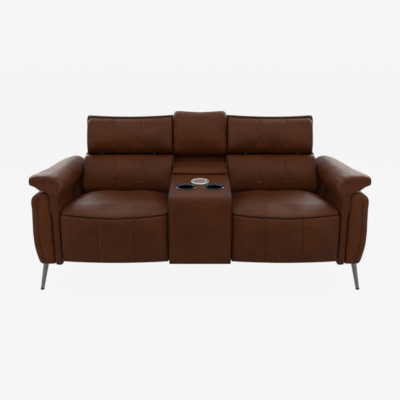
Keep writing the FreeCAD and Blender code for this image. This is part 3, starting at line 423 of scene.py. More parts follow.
class Graph:
    """A node tree that is written as a few calls: add a node, join sockets, do sums."""

    def __init__(self, tree: bpy.types.NodeTree) -> None:
        """Keep the tree that the calls write into."""
        self.tree = tree

    def fill(self, node: bpy.types.Node, inputs: Inputs) -> None:
        """Join each named input to another socket or give it a fixed value."""
        for key, value in inputs.items():
            if isinstance(value, bpy.types.NodeSocket):
                self.tree.links.new(value, node.inputs[key])
            else:
                node.inputs[key].default_value = value

    def add(self, kind: str, inputs: Optional[Inputs] = None, **settings: object) -> bpy.types.Node:
        """A node of a type with its settings and what feeds it.

        Args:
            kind: Blender's name for the type.
            inputs: input name or number to a socket or a fixed value.
            settings: the node's own properties.

        Returns:
            The new node.
        """
        node = self.tree.nodes.new(kind)
        for key, value in settings.items():
            setattr(node, key, value)
        self.fill(node, inputs or {})
        return node

    def sum(self, operation: str, first: Number, second: Number = 0.0, third: Number = 0.0) -> Socket:
        """The result of a Math node."""
        return self.add("ShaderNodeMath", {0: first, 1: second, 2: third}, operation=operation).outputs[0]

    def spread(self, value: Socket, low: float, high: float, to_low: float = 0.0, to_high: float = 1.0) -> Socket:
        """A value carried smoothly from one range to another."""
        limits = {"Value": value, "From Min": low, "From Max": high, "To Min": to_low, "To Max": to_high}
        return self.add("ShaderNodeMapRange", limits, interpolation_type="SMOOTHSTEP").outputs["Result"]

    def blend(self, share: Number, first: object, second: object) -> Socket:
        """One colour shaded into another."""
        return self.add("ShaderNodeMix", {0: share, 6: first, 7: second}, data_type="RGBA").outputs[2]

    def noise(self, place: Socket, scale: Number, detail: float = 3.0, rough: float = 0.5,
              output: str = "Fac") -> Socket:
        """Soft noise from 0 to 1."""
        inputs = {"Vector": place, "Scale": scale, "Detail": detail, "Roughness": rough}
        return self.add("ShaderNodeTexNoise", inputs).outputs[output]

    def edges(self, place: Socket, scale: Number) -> Socket:
        """Distance to the edge within the cells of a Voronoi pattern."""
        inputs = {"Vector": place, "Scale": scale}
        return self.add("ShaderNodeTexVoronoi", inputs, feature="DISTANCE_TO_EDGE").outputs["Distance"]

    def stretched(self, place: Socket, scale: Place) -> Socket:
        """A place scaled along each axis."""
        return self.add("ShaderNodeMapping", {"Vector": place, "Scale": scale}).outputs["Vector"]

    def group(self, build: Callable[[str], bpy.types.ShaderNodeTree], name: str, inputs: Inputs) -> bpy.types.Node:
        """Place a shared node group, building it the first time."""
        tree = bpy.data.node_groups.get(name) or build(name)
        return self.add("ShaderNodeGroup", inputs, node_tree=tree)

    def bump(self, height: Socket, depth: float, strength: float = 1.0) -> Socket:
        """The normal of a surface that a height map raises, by up to a depth in metres."""
        inputs = {"Height": height, "Distance": depth, "Strength": strength}
        return self.add("ShaderNodeBump", inputs).outputs["Normal"]


def new_group(name: str, values: dict[str, float], results: Sequence[str]) -> tuple[Graph, dict, bpy.types.Node]:
    """Start a shader node group that works on a place and a few numbers.

    Args:
        name: the group's name.
        values: number input to its default.
        results: names of the number outputs.

    Returns:
        The graph to write in, its input sockets by name, and the node that takes the results.
    """
    tree = bpy.data.node_groups.new(name, "ShaderNodeTree")
    tree.interface.new_socket("Place", in_out="INPUT", socket_type="NodeSocketVector")
    for label, default in values.items():
        tree.interface.new_socket(label, in_out="INPUT", socket_type="NodeSocketFloat").default_value = default
    for label in results:
        tree.interface.new_socket(label, in_out="OUTPUT", socket_type="NodeSocketFloat")
    graph = Graph(tree)
    have = {socket.name: socket for socket in graph.add("NodeGroupInput").outputs if socket.name}
    return graph, have, graph.add("NodeGroupOutput")


def grain_group(name: str) -> bpy.types.ShaderNodeTree:
    """Leather grain: pebbles parted by fine creases, and the hide's slow mottling.

    Args:
        name: the group's name.

    Returns:
        The group, with the place bent a little so that the cells look grown.
    """
    graph, have, give = new_group(name, {"Pebbles": 300.0}, ("Height", "Mottle"))
    place, pebbles = have["Place"], have["Pebbles"]
    shift = graph.noise(place, 55.0, 2.0, output="Color")
    bent = graph.add("ShaderNodeVectorMath", {0: shift, 1: (0.006, 0.006, 0.006), 2: place},
                     operation="MULTIPLY_ADD").outputs[0]
    pebble = graph.spread(graph.edges(bent, pebbles), 0.0, 0.16)
    small = graph.spread(graph.edges(bent, graph.sum("MULTIPLY", pebbles, 2.6)), 0.0, 0.2)
    crease = graph.spread(graph.edges(bent, graph.sum("MULTIPLY", pebbles, 0.16)), 0.0, 0.035)
    broken = graph.sum("MAXIMUM", crease, graph.spread(graph.noise(place, 24.0), 0.42, 0.6))
    height = graph.sum("MULTIPLY_ADD", pebble, 0.5, graph.sum("MULTIPLY", small, 0.2))
    mottle = graph.sum("MULTIPLY_ADD", graph.noise(place, 5.5, 4.0, 0.6), 0.65,
                       graph.sum("MULTIPLY", graph.noise(place, 38.0), 0.35))
    graph.fill(give, {"Height": graph.sum("MULTIPLY_ADD", broken, 0.3, height),
                      "Mottle": graph.spread(mottle, 0.3, 0.7)})
    return graph.tree


def wear_group(name: str) -> bpy.types.ShaderNodeTree:
    """Handling marks: faint scratches from stretched noise, and a dusty bloom from soft noise."""
    graph, have, give = new_group(name, {"Scale": 40.0}, ("Marks", "Bloom"))
    drawn = graph.stretched(have["Place"], (1.0, 0.12, 1.0))
    marks = graph.noise(drawn, graph.sum("MULTIPLY", have["Scale"], 6.0), 5.0, 0.7)
    bloom = graph.noise(have["Place"], have["Scale"], 3.0, 0.55)
    graph.fill(give, {"Marks": graph.spread(marks, 0.5, 0.72), "Bloom": graph.spread(bloom, 0.35, 0.75)})
    return graph.tree


def timber_group(name: str) -> bpy.types.ShaderNodeTree:
    """Timber: growth rings cut lengthwise, with fine pores along the grain."""
    graph, have, give = new_group(name, {"Rings": 45.0}, ("Ring", "Pore"))
    drawn = graph.stretched(have["Place"], (1.0, 0.08, 1.0))
    wave = graph.add("ShaderNodeTexWave", {"Vector": drawn, "Scale": have["Rings"], "Distortion": 6.0, "Detail": 3.0},
                     bands_direction="Z")
    graph.fill(give, {"Ring": wave.outputs["Fac"], "Pore": graph.spread(graph.noise(drawn, 900.0, 2.0), 0.35, 0.6)})
    return graph.tree


def ink(colour: Colour) -> tuple[float, float, float, float]:
    """A display colour from 0 to 255 as linear light: (c / 255) ^ 2.2 with full alpha."""
    return tuple((channel / 255.0) ** 2.2 for channel in colour) + (1.0,)


@dataclass(frozen=True)
class Finish:
    """A material's name, its two display colours (0 to 255) and its roughness."""

    name: str
    dark: Colour
    light: Colour
    roughness: float

    def paint(self, graph: Graph, place: Socket) -> Inputs:
        """What feeds the shader's inputs; each kind of finish has its own."""
        raise NotImplementedError

    def tone(self, graph: Graph, share: Socket) -> Socket:
        """The finish's colour, from its dark one at 0 to its light one at 1."""
        return graph.blend(share, ink(self.dark), ink(self.light))

    def material(self) -> bpy.types.Material:
        """The finish as a material, made once."""
        made = bpy.data.materials.get(self.name)
        if made is None:
            made = bpy.data.materials.new(self.name)
            made.use_nodes = True
            made.diffuse_color = ink(self.light)
            graph = Graph(made.node_tree)
            place = graph.add("ShaderNodeTexCoord").outputs["Object"]
            graph.fill(made.node_tree.nodes["Principled BSDF"], self.paint(graph, place))
        return made


@dataclass(frozen=True)
class Leather(Finish):
    """Grained hide, with painted shade darkening its creases, and shinier on its pebbles."""

    pebbles: float = 300.0
    depth: float = 0.0005
    coat: float = 0.02
    shine: float = 0.10
    painted_crease_shade: float = 0.55

    def paint(self, graph: Graph, place: Socket) -> Inputs:
        """Colour from the mottling, darkened by painted shade in the grain's creases; roughness and bump from the
        grain.
        """
        grain = graph.group(grain_group, "leather_grain", {"Place": place, "Pebbles": self.pebbles}).outputs
        wear = graph.group(wear_group, "handling_wear", {"Place": place, "Scale": 9.0}).outputs
        # painted shade: the grain's low creases are blended towards a deeper copy of the dark colour
        deep = tuple(self.painted_crease_shade * channel for channel in ink(self.dark)[:3]) + (1.0,)
        painted_crease_share = graph.spread(grain["Height"], 0.15, 0.75, 0.6, 0.0)
        rough = graph.spread(grain["Height"], 0.2, 0.9, self.roughness + 0.10, self.roughness - 0.03)
        return {
            "Base Color": graph.blend(painted_crease_share, self.tone(graph, grain["Mottle"]), deep),
            "Roughness": graph.sum("MULTIPLY_ADD", wear["Bloom"], 0.06, rough),
            "Coat Weight": self.coat,
            "Coat Roughness": 0.45,
            "Specular IOR Level": self.shine,
            "Normal": graph.bump(grain["Height"], self.depth, 0.8),
        }


@dataclass(frozen=True)
class Metal(Finish):
    """Metal with a fine drawn or cast surface and handling marks."""

    metallic: float = 1.0
    drawn: Place = (1.0, 1.0, 0.05)
    fineness: float = 700.0
    depth: float = 0.00005

    def paint(self, graph: Graph, place: Socket) -> Inputs:
        """Streaked roughness along the drawing direction and worn patches in the colour."""
        wear = graph.group(wear_group, "handling_wear", {"Place": place, "Scale": 30.0}).outputs
        streak = graph.noise(graph.stretched(place, self.drawn), self.fineness)
        worn = graph.sum("MULTIPLY_ADD", wear["Marks"], 0.5, graph.sum("MULTIPLY", streak, 0.5))
        rough = graph.spread(streak, 0.3, 0.7, self.roughness - 0.06, self.roughness + 0.08)
        return {
            "Base Color": self.tone(graph, worn),
            "Roughness": graph.sum("MULTIPLY_ADD", wear["Bloom"], 0.08, rough),
            "Metallic": self.metallic,
            "Normal": graph.bump(streak, self.depth),
        }


@dataclass(frozen=True)
class Moulded(Finish):
    """Moulded plastic with a spark-eroded texture."""

    fineness: float = 1400.0
    depth: float = 0.00008

    def paint(self, graph: Graph, place: Socket) -> Inputs:
        """Fine pits in the surface, slow change in its tone."""
        wear = graph.group(wear_group, "handling_wear", {"Place": place, "Scale": 22.0}).outputs
        pits = graph.noise(place, self.fineness, 2.0, 0.6)
        return {
            "Base Color": self.tone(graph, wear["Bloom"]),
            "Roughness": graph.spread(pits, 0.3, 0.7, self.roughness - 0.05, self.roughness + 0.07),
            "Normal": graph.bump(pits, self.depth),
        }


@dataclass(frozen=True)
class Timber(Finish):
    """Raw plywood or softwood."""

    rings: float = 45.0
    depth: float = 0.0002

    def paint(self, graph: Graph, place: Socket) -> Inputs:
        """Colour and bump from the grain."""
        grain = graph.group(timber_group, "timber_grain", {"Place": place, "Rings": self.rings}).outputs
        figure = graph.sum("MULTIPLY", grain["Ring"], grain["Pore"])
        return {
            "Base Color": self.tone(graph, figure),
            "Roughness": graph.spread(grain["Pore"], 0.0, 1.0, self.roughness + 0.1, self.roughness),
            "Normal": graph.bump(figure, self.depth),
        }


@dataclass(frozen=True)
class Thread(Finish):
    """Twisted polyester thread."""

    twist: float = 1500.0
    depth: float = 0.0002

    def paint(self, graph: Graph, place: Socket) -> Inputs:
        """Slanted bands of painted shade and highlight for the twist."""
        # painted shade and highlight: the twist wave moves the colour between the thread's dark and light tones
        twist = graph.add("ShaderNodeTexWave", {"Vector": place, "Scale": self.twist, "Distortion": 1.5},
                          bands_direction="DIAGONAL").outputs["Fac"]
        return {
            "Base Color": self.tone(graph, twist),
            "Roughness": graph.spread(twist, 0.0, 1.0, self.roughness + 0.08, self.roughness),
            "Normal": graph.bump(twist, self.depth),
        }


class Finishes:
    """The sofa's finishes, by use."""

    leather = Leather("brown_leather", (64, 32, 15), (77, 42, 21), 0.50)
    # painted light: a lighter copy of the brown leather, standing in for the light that falls on the outer panels
    lit_side_leather = Leather("side_panel_leather", (73, 38, 19), (87, 49, 26), 0.50)
    # painted shade: a darker copy of the brown leather, for the headrest shells, back covers, gussets and the
    # console's rear base
    back_leather = Leather("back_panel_leather", (55, 27, 12), (66, 35, 17), 0.50, pebbles=260.0)
    # painted shade: darker than the cushions' leather, standing in for the shade along the seams and the headrest rim
    piping = Leather("piping_leather", (52, 28, 16), (64, 36, 23), 0.5, pebbles=380.0, depth=0.0003)
    lining = Leather("black_lining", (14, 11, 10), (20, 16, 14), 0.85, shine=0.05, coat=0.0)
    # the thread's dark and light colours are its twist's painted shade and highlight
    thread = Thread("brown_thread", (62, 36, 23), (88, 56, 38), 0.6)
    leg_metal = Metal("gunmetal_leg", (91, 90, 97), (118, 117, 125), 0.36, metallic=0.6)
    black_steel = Metal("black_satin_steel", (17, 16, 16), (30, 29, 29), 0.55, metallic=0.4)
    spring_wire = Metal("drawn_spring_wire", (105, 105, 108), (150, 150, 152), 0.36)
    cup_metal = Metal("dark_chrome_cup", (44, 44, 49), (74, 74, 81), 0.18, drawn=(1.0, 1.0, 0.4))
    disc_metal = Metal("satin_silver_disc", (176, 172, 164), (206, 202, 194), 0.34, drawn=(0.06, 1.0, 1.0))
    stained_board = Timber("black_stained_board", (24, 22, 21), (44, 40, 37), 0.6)
    timber = Timber("raw_plywood", (150, 112, 72), (196, 158, 112), 0.62)
    motor_plastic = Moulded("motor_black_plastic", (22, 22, 23), (38, 38, 40), 0.52)
    switch_plastic = Moulded("switch_dark_plastic", (24, 21, 20), (38, 34, 32), 0.38, depth=0.00004)
    bin_plastic = Moulded("bin_dark_plastic", (26, 24, 23), (42, 39, 37), 0.55)
    glide_plastic = Moulded("glide_black_plastic", (14, 14, 15), (26, 26, 28), 0.5)


# ---------------------------------------------------------------- upholstery
def baked(piece: bpy.types.Object) -> bpy.types.Object:
    """Fix the piece's modifiers into its mesh, so that none stays on it.

    Args:
        piece: the object, changed in place.

    Returns:
        The same object.
    """
    graph = bpy.context.evaluated_depsgraph_get()
    mesh = bpy.data.meshes.new_from_object(piece.evaluated_get(graph))
    piece.modifiers.clear()
    old, piece.data = piece.data, mesh
    bpy.data.meshes.remove(old)
    shade(mesh, True)
    return piece


def evened(mesh: bpy.types.Mesh, values: Array, rounds: int) -> Array:
    """A field of three numbers a vertex, evened out along the mesh's edges.

    Each round moves every value half of the way to the mean of its neighbours.

    Args:
        mesh: gives the edges.
        values: (n, 3) numbers.
        rounds: how often they are evened.

    Returns:
        The new (n, 3) numbers.
    """
    ends = np.empty(len(mesh.edges) * 2, np.int32)
    mesh.edges.foreach_get("vertices", ends)
    first, second = ends.reshape(-1, 2).T
    count = len(values)
    degree = np.bincount(ends, minlength=count)[:, None]
    for _ in range(rounds):
        total = np.stack([np.bincount(first, column[second], count) + np.bincount(second, column[first], count)
                          for column in values.T], 1)
        values = 0.5 * (values + total / degree)
    return values


def pinned(*masks: Array) -> Array:
    """How firmly points are held, from 0 to 1: several masks added up."""
    return np.clip(np.sum([mask.astype(float) for mask in masks], axis=0), 0.0, 1.0)


def ramp(values: Array, start: float, reach: float) -> Array:
    """0 up to a start, and 1 from a reach beyond it; a negative reach runs the other way."""
    return np.clip((values - start) / reach, 0.0, 1.0)


def eased(share: Array) -> Array:
    """A share from 0 to 1 with soft ends: s^2 (3 - 2 s)."""
    return share * share * (3.0 - 2.0 * share)


@dataclass(frozen=True)
class Stuffing:
    """How a pad is filled: remeshed, blown up as cloth, and kept in its own space."""

    voxel: float = 0.006
    pressure: float = 4.0
    cap: float = 0.024
    frames: int = 20
    growth: float = 0.02
    rounds: int = 40
    last_rounds: int = 3
    quick_share: float = 0.4

    def fill(self, piece: bpy.types.Object, held: Callable[[Array], Array], low: Sequence[float],
             high: Sequence[float]) -> None:
        """Swell the piece like a stuffed cover and give it one subdivision.

        A point's travel is cut to the cap and evened, then kept between the corners of the pad's own space.

        Args:
            piece: a closed pad, drawn slightly small.
            held: 1 where the pad rests and stays, 0 where it is free, for each point.
            low: lowest corner of the pad's space.
            high: highest corner of the pad's space.
        """
        remesh = piece.modifiers.new("even_mesh", "REMESH")
        remesh.mode = "VOXEL"
        remesh.voxel_size = self.voxel
        baked(piece)
        start = read_points(piece.data)
        weights = held(start)
        travel = self.blown_up(piece, weights) - start
        reach = np.linalg.norm(travel, axis=1, keepdims=True) + TINY
        travel = evened(piece.data, travel * np.minimum(1.0, self.cap / reach), self.rounds)
        write_points(piece.data, np.clip(start + travel, low, high))
        write_points(piece.data, evened(piece.data, read_points(piece.data), self.last_rounds))
        finer = piece.modifiers.new("finer", "SUBSURF")
        finer.levels = finer.render_levels = 1
        baked(piece)

    def blown_up(self, piece: bpy.types.Object, weights: Array) -> Array:
        """Let the piece swell as cloth under pressure, with nothing random in it.

        Args:
            piece: the remeshed pad; its modifiers and groups are gone afterwards.
            weights: how firmly each point is held, in four levels.

        Returns:
            Its (n, 3) points after the last frame.
        """
        group = piece.vertex_groups.new(name="held")
        for level in (0.25, 0.5, 0.75, 1.0):
            chosen = np.nonzero((weights > level - 0.125) & (weights <= level + 0.125))[0]
            group.add(chosen.tolist(), level, "REPLACE")
        cloth = piece.modifiers.new("swell", "CLOTH")
        cloth.settings.use_pressure = True
        cloth.settings.uniform_pressure_force = self.pressure
        cloth.settings.quality = 4
        cloth.settings.effector_weights.gravity = 0.0
        cloth.settings.shrink_min = cloth.settings.shrink_max = -self.growth
        cloth.settings.vertex_group_mass = "held"
        cloth.point_cache.frame_start, cloth.point_cache.frame_end = 1, self.frames
        scene = bpy.context.scene
        for number in range(1, self.frames + 1):
            scene.frame_set(number)
        graph = bpy.context.evaluated_depsgraph_get()
        points = read_points(piece.evaluated_get(graph).data)
        piece.modifiers.clear()
        piece.vertex_groups.clear()
        scene.frame_set(1)
        return points


def spanned(mesh: bpy.types.Mesh, span: Span) -> None:
    """Stretch a filled cushion evenly across, so that its ends stand at the given places."""
    points = read_points(mesh)
    first, last = points[:, 0].min(), points[:, 0].max()
    points[:, 0] = span[0] + (points[:, 0] - first) * (span[1] - span[0]) / (last - first)
    write_points(mesh, points)


@dataclass(frozen=True)
class Channel:
    """A sewn line that runs up a cushion at one place across it."""

    x: float
    low: float
    high: float
    depth: float = 0.007
    width: float = 0.008
    fade: float = 0.012
    pucker: float = 0.0007
    pucker_reach: float = 0.020

    def sew(self, points: Array, normals: Array) -> Array:
        """Pull the cushion in along the line.

        A point at distance d sinks by depth exp(-d / width), faded over 12 mm at both ends,
        and small puckers sin(2 pi z / 23 mm) die away from the line as exp(-d / 20 mm).

        Args:
            points: (n, 3) places of the cushion.
            normals: (n, 3) normals there.

        Returns:
            The moved places; those nearest to the line come to lie in it.
        """
        gap = np.abs(points[:, 0] - self.x)
        z = points[:, 2]
        fade = ramp(z, self.low, self.fade) * ramp(z, self.high, -self.fade)
        facing = np.clip(-normals[:, 1] * 1.6 + np.clip(normals[:, 2], 0, 1), 0, 1)
        sink = self.depth * np.exp(-gap / self.width)
        pucker = self.pucker * np.exp(-gap / self.pucker_reach) * np.sin(z * 273.0 + 2.0 * np.sin(z * 61.0))
        moved = points - normals * ((sink + pucker) * fade * facing)[:, None]
        near = (gap < 0.0019) & (fade > 0.0) & (facing > 0.3)
        moved[near, 0] = self.x
        return moved

    def line(self, points: Array, normals: Array, shift: float, lift: float = 0.0004) -> Array:
        """A line beside the channel on the cushion's face, read off the mesh in even steps of height.

        Args:
            points: (n, 3) places of the cushion.
            normals: (n, 3) normals there.
            shift: how far across from the channel the line runs.
            lift: how far it stands off the face.

        Returns:
            (m, 3) points from the bottom up.
        """
        near = (np.abs(points[:, 0] - self.x - shift) < 0.0032) & (normals[:, 1] < -0.25)
        z, y = points[near, 2], points[near, 1]
        steps = np.arange(self.low + 0.006, self.high - 0.004, 0.005)
        order = np.argsort(z)
        depth = np.interp(steps, z[order], y[order])
        depth = np.convolve(np.pad(depth, 1, mode="edge"), np.ones(3) / 3.0, "valid")
        return np.stack([np.full(len(steps), self.x + shift), depth - lift, steps], 1)


@dataclass(frozen=True)
class Folds:
    """Soft folds in one patch of leather."""

    centre: Place
    reach: Place
    depth: float
    turn: float
    waves: float

    def press(self, points: Array, normals: Array) -> Array:
        """Move points by waves of a slanted sine under a Gaussian of the patch's reach.

        Args:
            points: (n, 3) places.
            normals: (n, 3) normals, zero where nothing may move.

        Returns:
            The moved places.
        """
        apart = (points - np.asarray(self.centre)) / np.asarray(self.reach)
        patch = np.exp(-0.5 * np.sum(apart ** 2, axis=1))
        slant = (apart[:, 0] * math.cos(self.turn) + apart[:, 2] * math.sin(self.turn)
                 + 0.35 * np.sin(3.0 * apart[:, 0] + 1.3))
        return points + normals * (self.depth * patch * np.sin(self.waves * slant))[:, None]


def wandering(points: Array, normals: Array, depth: float, seed: float) -> Array:
    """Slow unevenness of stuffed leather: the mean of six sines in different directions.

    Args:
        points: (n, 3) places.
        normals: (n, 3) normals, zero where nothing may move.
        depth: the most that a point moves.
        seed: turns the sines' directions and starts.

    Returns:
        The moved places.
    """
    angle = np.arange(6) * 1.1 + seed
    ways = np.stack([np.cos(angle), np.sin(angle) * 0.7, np.sin(2.3 * angle)], 1) * (9.0 + 6.0 * np.arange(6))[:, None]
    wave = np.sin(points @ ways.T + seed * np.arange(1, 7)).mean(1)
    return points + normals * (depth * wave)[:, None]


def settled(path: Array, mesh: bpy.types.Mesh, lift: float, smooth: int, margin: float = 0.04) -> Array:
    """A line laid on a piece's surface: each place goes to its nearest vertex, then the line is evened out.

    Args:
        path: (n, 3) line near the surface.
        mesh: the surface.
        lift: how far the line stands off it.
        smooth: the odd number of points that are averaged.
        margin: how far round the line vertices are looked for.

    Returns:
        The (n, 3) line on the surface, its two ends unmoved by the averaging.
    """
    points, normals = read_points(mesh), read_normals(mesh)
    inside = np.all((points > path.min(0) - margin) & (points < path.max(0) + margin), axis=1)
    points, normals = points[inside], normals[inside]
    parts = np.array_split(path, max(1, len(path) // 12))
    nearest = np.concatenate([np.argmin(((part[:, None] - points[None]) ** 2).sum(-1), 1) for part in parts])
    laid = points[nearest] + normals[nearest] * lift
    line = slackened(laid, smooth)
    line[[0, -1]] = laid[[0, -1]]
    return line


def dress(node: str, finish: Finish) -> None:
    """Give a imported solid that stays, and its left twin if it is a right one, their own material."""
    for name in {node: None, left_name(node): None}:
        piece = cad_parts[name]
        piece.data.materials.clear()
        piece.data.materials.append(finish.material())
        log.info("%s keeps its solid, in %s", name, finish.name)


@dataclass
class Maker:
    """What every sub-assembly shares: dressing a piece and saying what it stands for."""

    def finish(self, piece: bpy.types.Object, finish: Finish, body: str, slot: str,
               replaces: Sequence[str] = (), puff: float = 0.0) -> None:
        """Give a piece its material, its body and the nodes that it stands for.

        A piece whose name begins with right_ also gets its left twin.

        Args:
            piece: the finished mesh object.
            finish: its finish.
            body: the CAD body that it rides on.
            slot: the record's material slot; not used.
            replaces: CAD nodes that it stands for.
            puff: how soft it is, 0 for a hard piece; not used.
        """
        dressed = [(piece, body, list(replaces))]
        if piece.name.startswith("right_"):
            dressed.append((twin_of(piece), left_name(body), [left_name(node) for node in replaces]))
        for made, carrier, nodes in dressed:
            made.data.materials.clear()
            made.data.materials.append(finish.material())
            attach(made, carrier)
            if nodes:
                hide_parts(*nodes)
            log.info("%s: %d faces on %s", made.name, len(made.data.polygons), carrier)

    def seam(self, name: str, path: Array, body: str, radius: float) -> None:
        """A leather piping along a line, in leather darkened as painted seam shade."""
        self.finish(sweep(name, path, radius), Finishes.piping, body, "leather")

    def topstitch(self, name: str, path: Array, body: str) -> None:
        """A row of thread stitches along a line."""
        self.finish(Stitch().row(name, path), Finishes.thread, body, "leather")

    def sew(self, mesh: bpy.types.Mesh, channels: Sequence[Channel]) -> None:
        """Pull a cushion in along each of its channels."""
        for channel in channels:
            write_points(mesh, channel.sew(read_points(mesh), read_normals(mesh)))

    def stitch_beside(self, name: str, mesh: bpy.types.Mesh, channels: Sequence[Channel], gap: float,
                      body: str) -> None:
        """Two numbered rows of stitches for each channel, one on either side of it."""
        points, normals = read_points(mesh), read_normals(mesh)
        rows = [channel.line(points, normals, shift) for channel in channels for shift in (-gap, gap)]
        for number, row in enumerate(rows):
            self.topstitch(f"{name}_{number}", row, body)

    def rumple(self, mesh: bpy.types.Mesh, depth: float, seed: float) -> None:
        """Slow unevenness on a cushion's front."""
        normals = read_normals(mesh)
        write_points(mesh, wandering(read_points(mesh), normals * (normals[:, 1:2] < -0.3), depth, seed))


# ---------------------------------------------------------------- seats
@dataclass
class SeatUnit(Maker):
    """One reclining seat: four leather cushions over the steel that carries them."""

    seat_rear: float = 0.070
    seat_low: float = 0.3783
    seat_crown: float = 0.535
    seat_span: Span = (PLAN.seat_in - 0.0032, PLAN.seat_out + 0.0020)
    welt_height: float = 0.486
    welt_rise: float = 0.018
    front_bow: float = 0.025
    nose_back: float = -0.398
    pad_rear: float = -0.4222
    panel_bottom: float = 0.215
    panel_seam_top: float = 0.482
    lumbar: Span = (0.495, 0.733)
    headrest: Span = (0.738, 0.991)
    head_seam_top: float = 0.968
    back_span: Span = (0.1815, 0.776)
    head_span: Span = (0.1815, 0.764)
    cover_span: Span = (0.1830, 0.772)
    cover_rise: Span = (0.4303, 0.7378)
    cover_depth: float = 0.199
    seat_channels: Span = (0.5875, 0.3765)
    back_channels: Span = (0.5705, 0.3905)
    seat_stuffing: Stuffing = Stuffing(voxel=0.007, cap=0.024)
    back_stuffing: Stuffing = Stuffing(voxel=0.0064, cap=0.022)
    panel_stuffing: Stuffing = Stuffing(voxel=0.006, cap=0.014, pressure=3.0)

    def welt(self, x: Array) -> Array:
        """Height of the welt over the footrest: it rises with the square of the distance from the middle."""
        return self.welt_height + self.welt_rise * PLAN.across(x) ** 2

    def bow(self, x: Array) -> Array:
        """Depth of the front: it bows forward in the middle."""
        return PLAN.front + self.front_bow * PLAN.across(x) ** 2

    def front_line(self, margin: float, behind: float, height: Callable[[Array], Array]) -> Array:
        """A line across the seat's front, for a welt or a row of stitches.

        Args:
            margin: how far inside the seat's ends it stops.
            behind: how far it lies behind the bowed front.
            height: its height at each place across.

        Returns:
            (150, 3) points.
        """
        x = np.linspace(PLAN.seat_in + margin, PLAN.seat_out - margin, 150)
        return np.column_stack([x, self.bow(x) + behind, height(x)])

    def end_hold(self, p: Array, low: float, high: float) -> Array:
        """1 on a cushion's two ends."""
        return (p[:, 0] < low + 0.006) | (p[:, 0] > high - 0.007)

    def seat_outline(self, x: float) -> Array:
        """The seat cushion's side view at a place across: nose, crown and the fall under the back."""
        share = PLAN.from_middle(x) ** 3.2
        lip, front, rear = float(self.welt(x)) + 0.001, float(self.bow(x)) + 0.005, self.seat_rear
        middle = np.array([
            (front + 0.012, 0.504), (front + 0.062, 0.524), (-0.250, 0.5315), (-0.100, self.seat_crown),
            (rear - 0.030, self.seat_crown - 0.020), (rear, self.seat_crown - 0.042),
        ])
        end = np.array([
            (front + 0.009, 0.513), (front + 0.045, 0.520), (-0.250, 0.517), (-0.080, 0.493),
            (rear - 0.030, 0.486), (rear, 0.480),
        ])
        upper = (1.0 - share) * middle + share * end
        corners = [(rear, self.seat_low), (self.nose_back, self.seat_low), (self.nose_back, lip - 0.003), (front, lip)]
        corners += [tuple(corner) for corner in upper]
        return soft_loop(corners, (0, 0, 0, 0, 0.002, 0.003, 0.001, 0.002, 0, 0), 0.008, 200)

    def make_seat(self) -> None:
        """Seat cushion: crowned, without channels, its nose over the footrest panel."""
        rings = padded_rings(self.seat_outline, self.seat_span, end=0.008, count=70)
        pad = close_loft("right_seat_cushion", rings)
        low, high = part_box("right_seat_cushion")
        self.seat_stuffing.fill(
            pad,
            lambda p: pinned(
                ramp(p[:, 2], self.seat_low + 0.030, -0.012), p[:, 1] > self.seat_rear - 0.012,
                (np.abs(p[:, 2] - self.welt(p[:, 0])) < 0.006) & (p[:, 1] < -0.39),
                self.end_hold(p, PLAN.seat_in, PLAN.seat_out)),
            (self.seat_span[0], low.y - 0.004, self.seat_low), (self.seat_span[1], self.seat_rear, high.z + 0.014))
        mesh = pad.data
        spanned(mesh, self.seat_span)
        points, normals = read_points(mesh), read_normals(mesh)
        points = wandering(points, normals * (normals[:, 2:] > 0.2), 0.0011, 0.7)
        for folds in (Folds((0.26, -0.30, 0.52), (0.05, 0.10, 0.06), 0.0008, 0.6, 6.0),
                      Folds((0.73, -0.36, 0.52), (0.05, 0.08, 0.06), 0.0008, -0.5, 5.0)):
            points = folds.press(points, normals)
        write_points(mesh, points)
        welt = settled(self.front_line(0.010, 0.004, lambda x: self.welt(x) + 0.002), mesh, 0.0006, 7)
        row = settled(self.front_line(0.010, 0.004, lambda x: self.welt(x) + 0.013), mesh, 0.0003, 11)
        self.finish(pad, Finishes.leather, "right_carriage", "leather", ["right_seat_cushion"], 0.85)
        self.seam("right_seat_welt", welt, "right_carriage", 0.0021)
        self.topstitch("right_seat_welt_stitches", row, "right_carriage")

    def panel_outline(self, x: float) -> Array:
        """The footrest panel's side view: flat behind, bowed in front, rounded above and below."""
        front = float(self.bow(x)) + 0.004
        low, high = self.panel_bottom, float(self.welt(x)) - 0.0015
        corners = [
            (self.pad_rear, low), (front + 0.004, low), (front, low + 0.030),
            (front, high - 0.014), (front + 0.003, high), (self.pad_rear, high),
        ]
        return soft_loop(corners, (0, 0, 0.003, 0, 0, 0), 0.005, 180)

    def make_panel(self) -> None:
        """Footrest panel with its two sewn channels and a hem along the bottom."""
        rings = padded_rings(self.panel_outline, self.seat_span, end=0.012, count=44, first_end=0.006)
        pad = close_loft("right_footrest_pad", rings)
        low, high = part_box("right_footrest_pad")
        self.panel_stuffing.fill(
            pad,
            lambda p: pinned(
                p[:, 1] > self.pad_rear - 0.010, p[:, 2] < self.panel_bottom + 0.006,
                p[:, 2] > self.welt(p[:, 0]) - 0.010, self.end_hold(p, PLAN.seat_in, PLAN.seat_out)),
            (self.seat_span[0], low.y - 0.002, self.panel_bottom), (self.seat_span[1], self.pad_rear, high.z))
        mesh = pad.data
        spanned(mesh, self.seat_span)
        channels = [Channel(x, self.panel_bottom + 0.006, self.panel_seam_top, depth=0.0085, width=0.0055)
                    for x in self.seat_channels]
        self.sew(mesh, channels)
        hem = self.front_line(0.014, 0.002, lambda x: np.full(len(x), self.panel_bottom + 0.012))
        self.finish(pad, Finishes.leather, "right_footrest", "leather", ["right_footrest_pad"], 0.8)
        self.stitch_beside("right_panel_stitches", mesh, channels, 0.007, "right_footrest")
        self.topstitch("right_panel_hem_stitches", settled(hem, mesh, 0.0004, 11), "right_footrest")

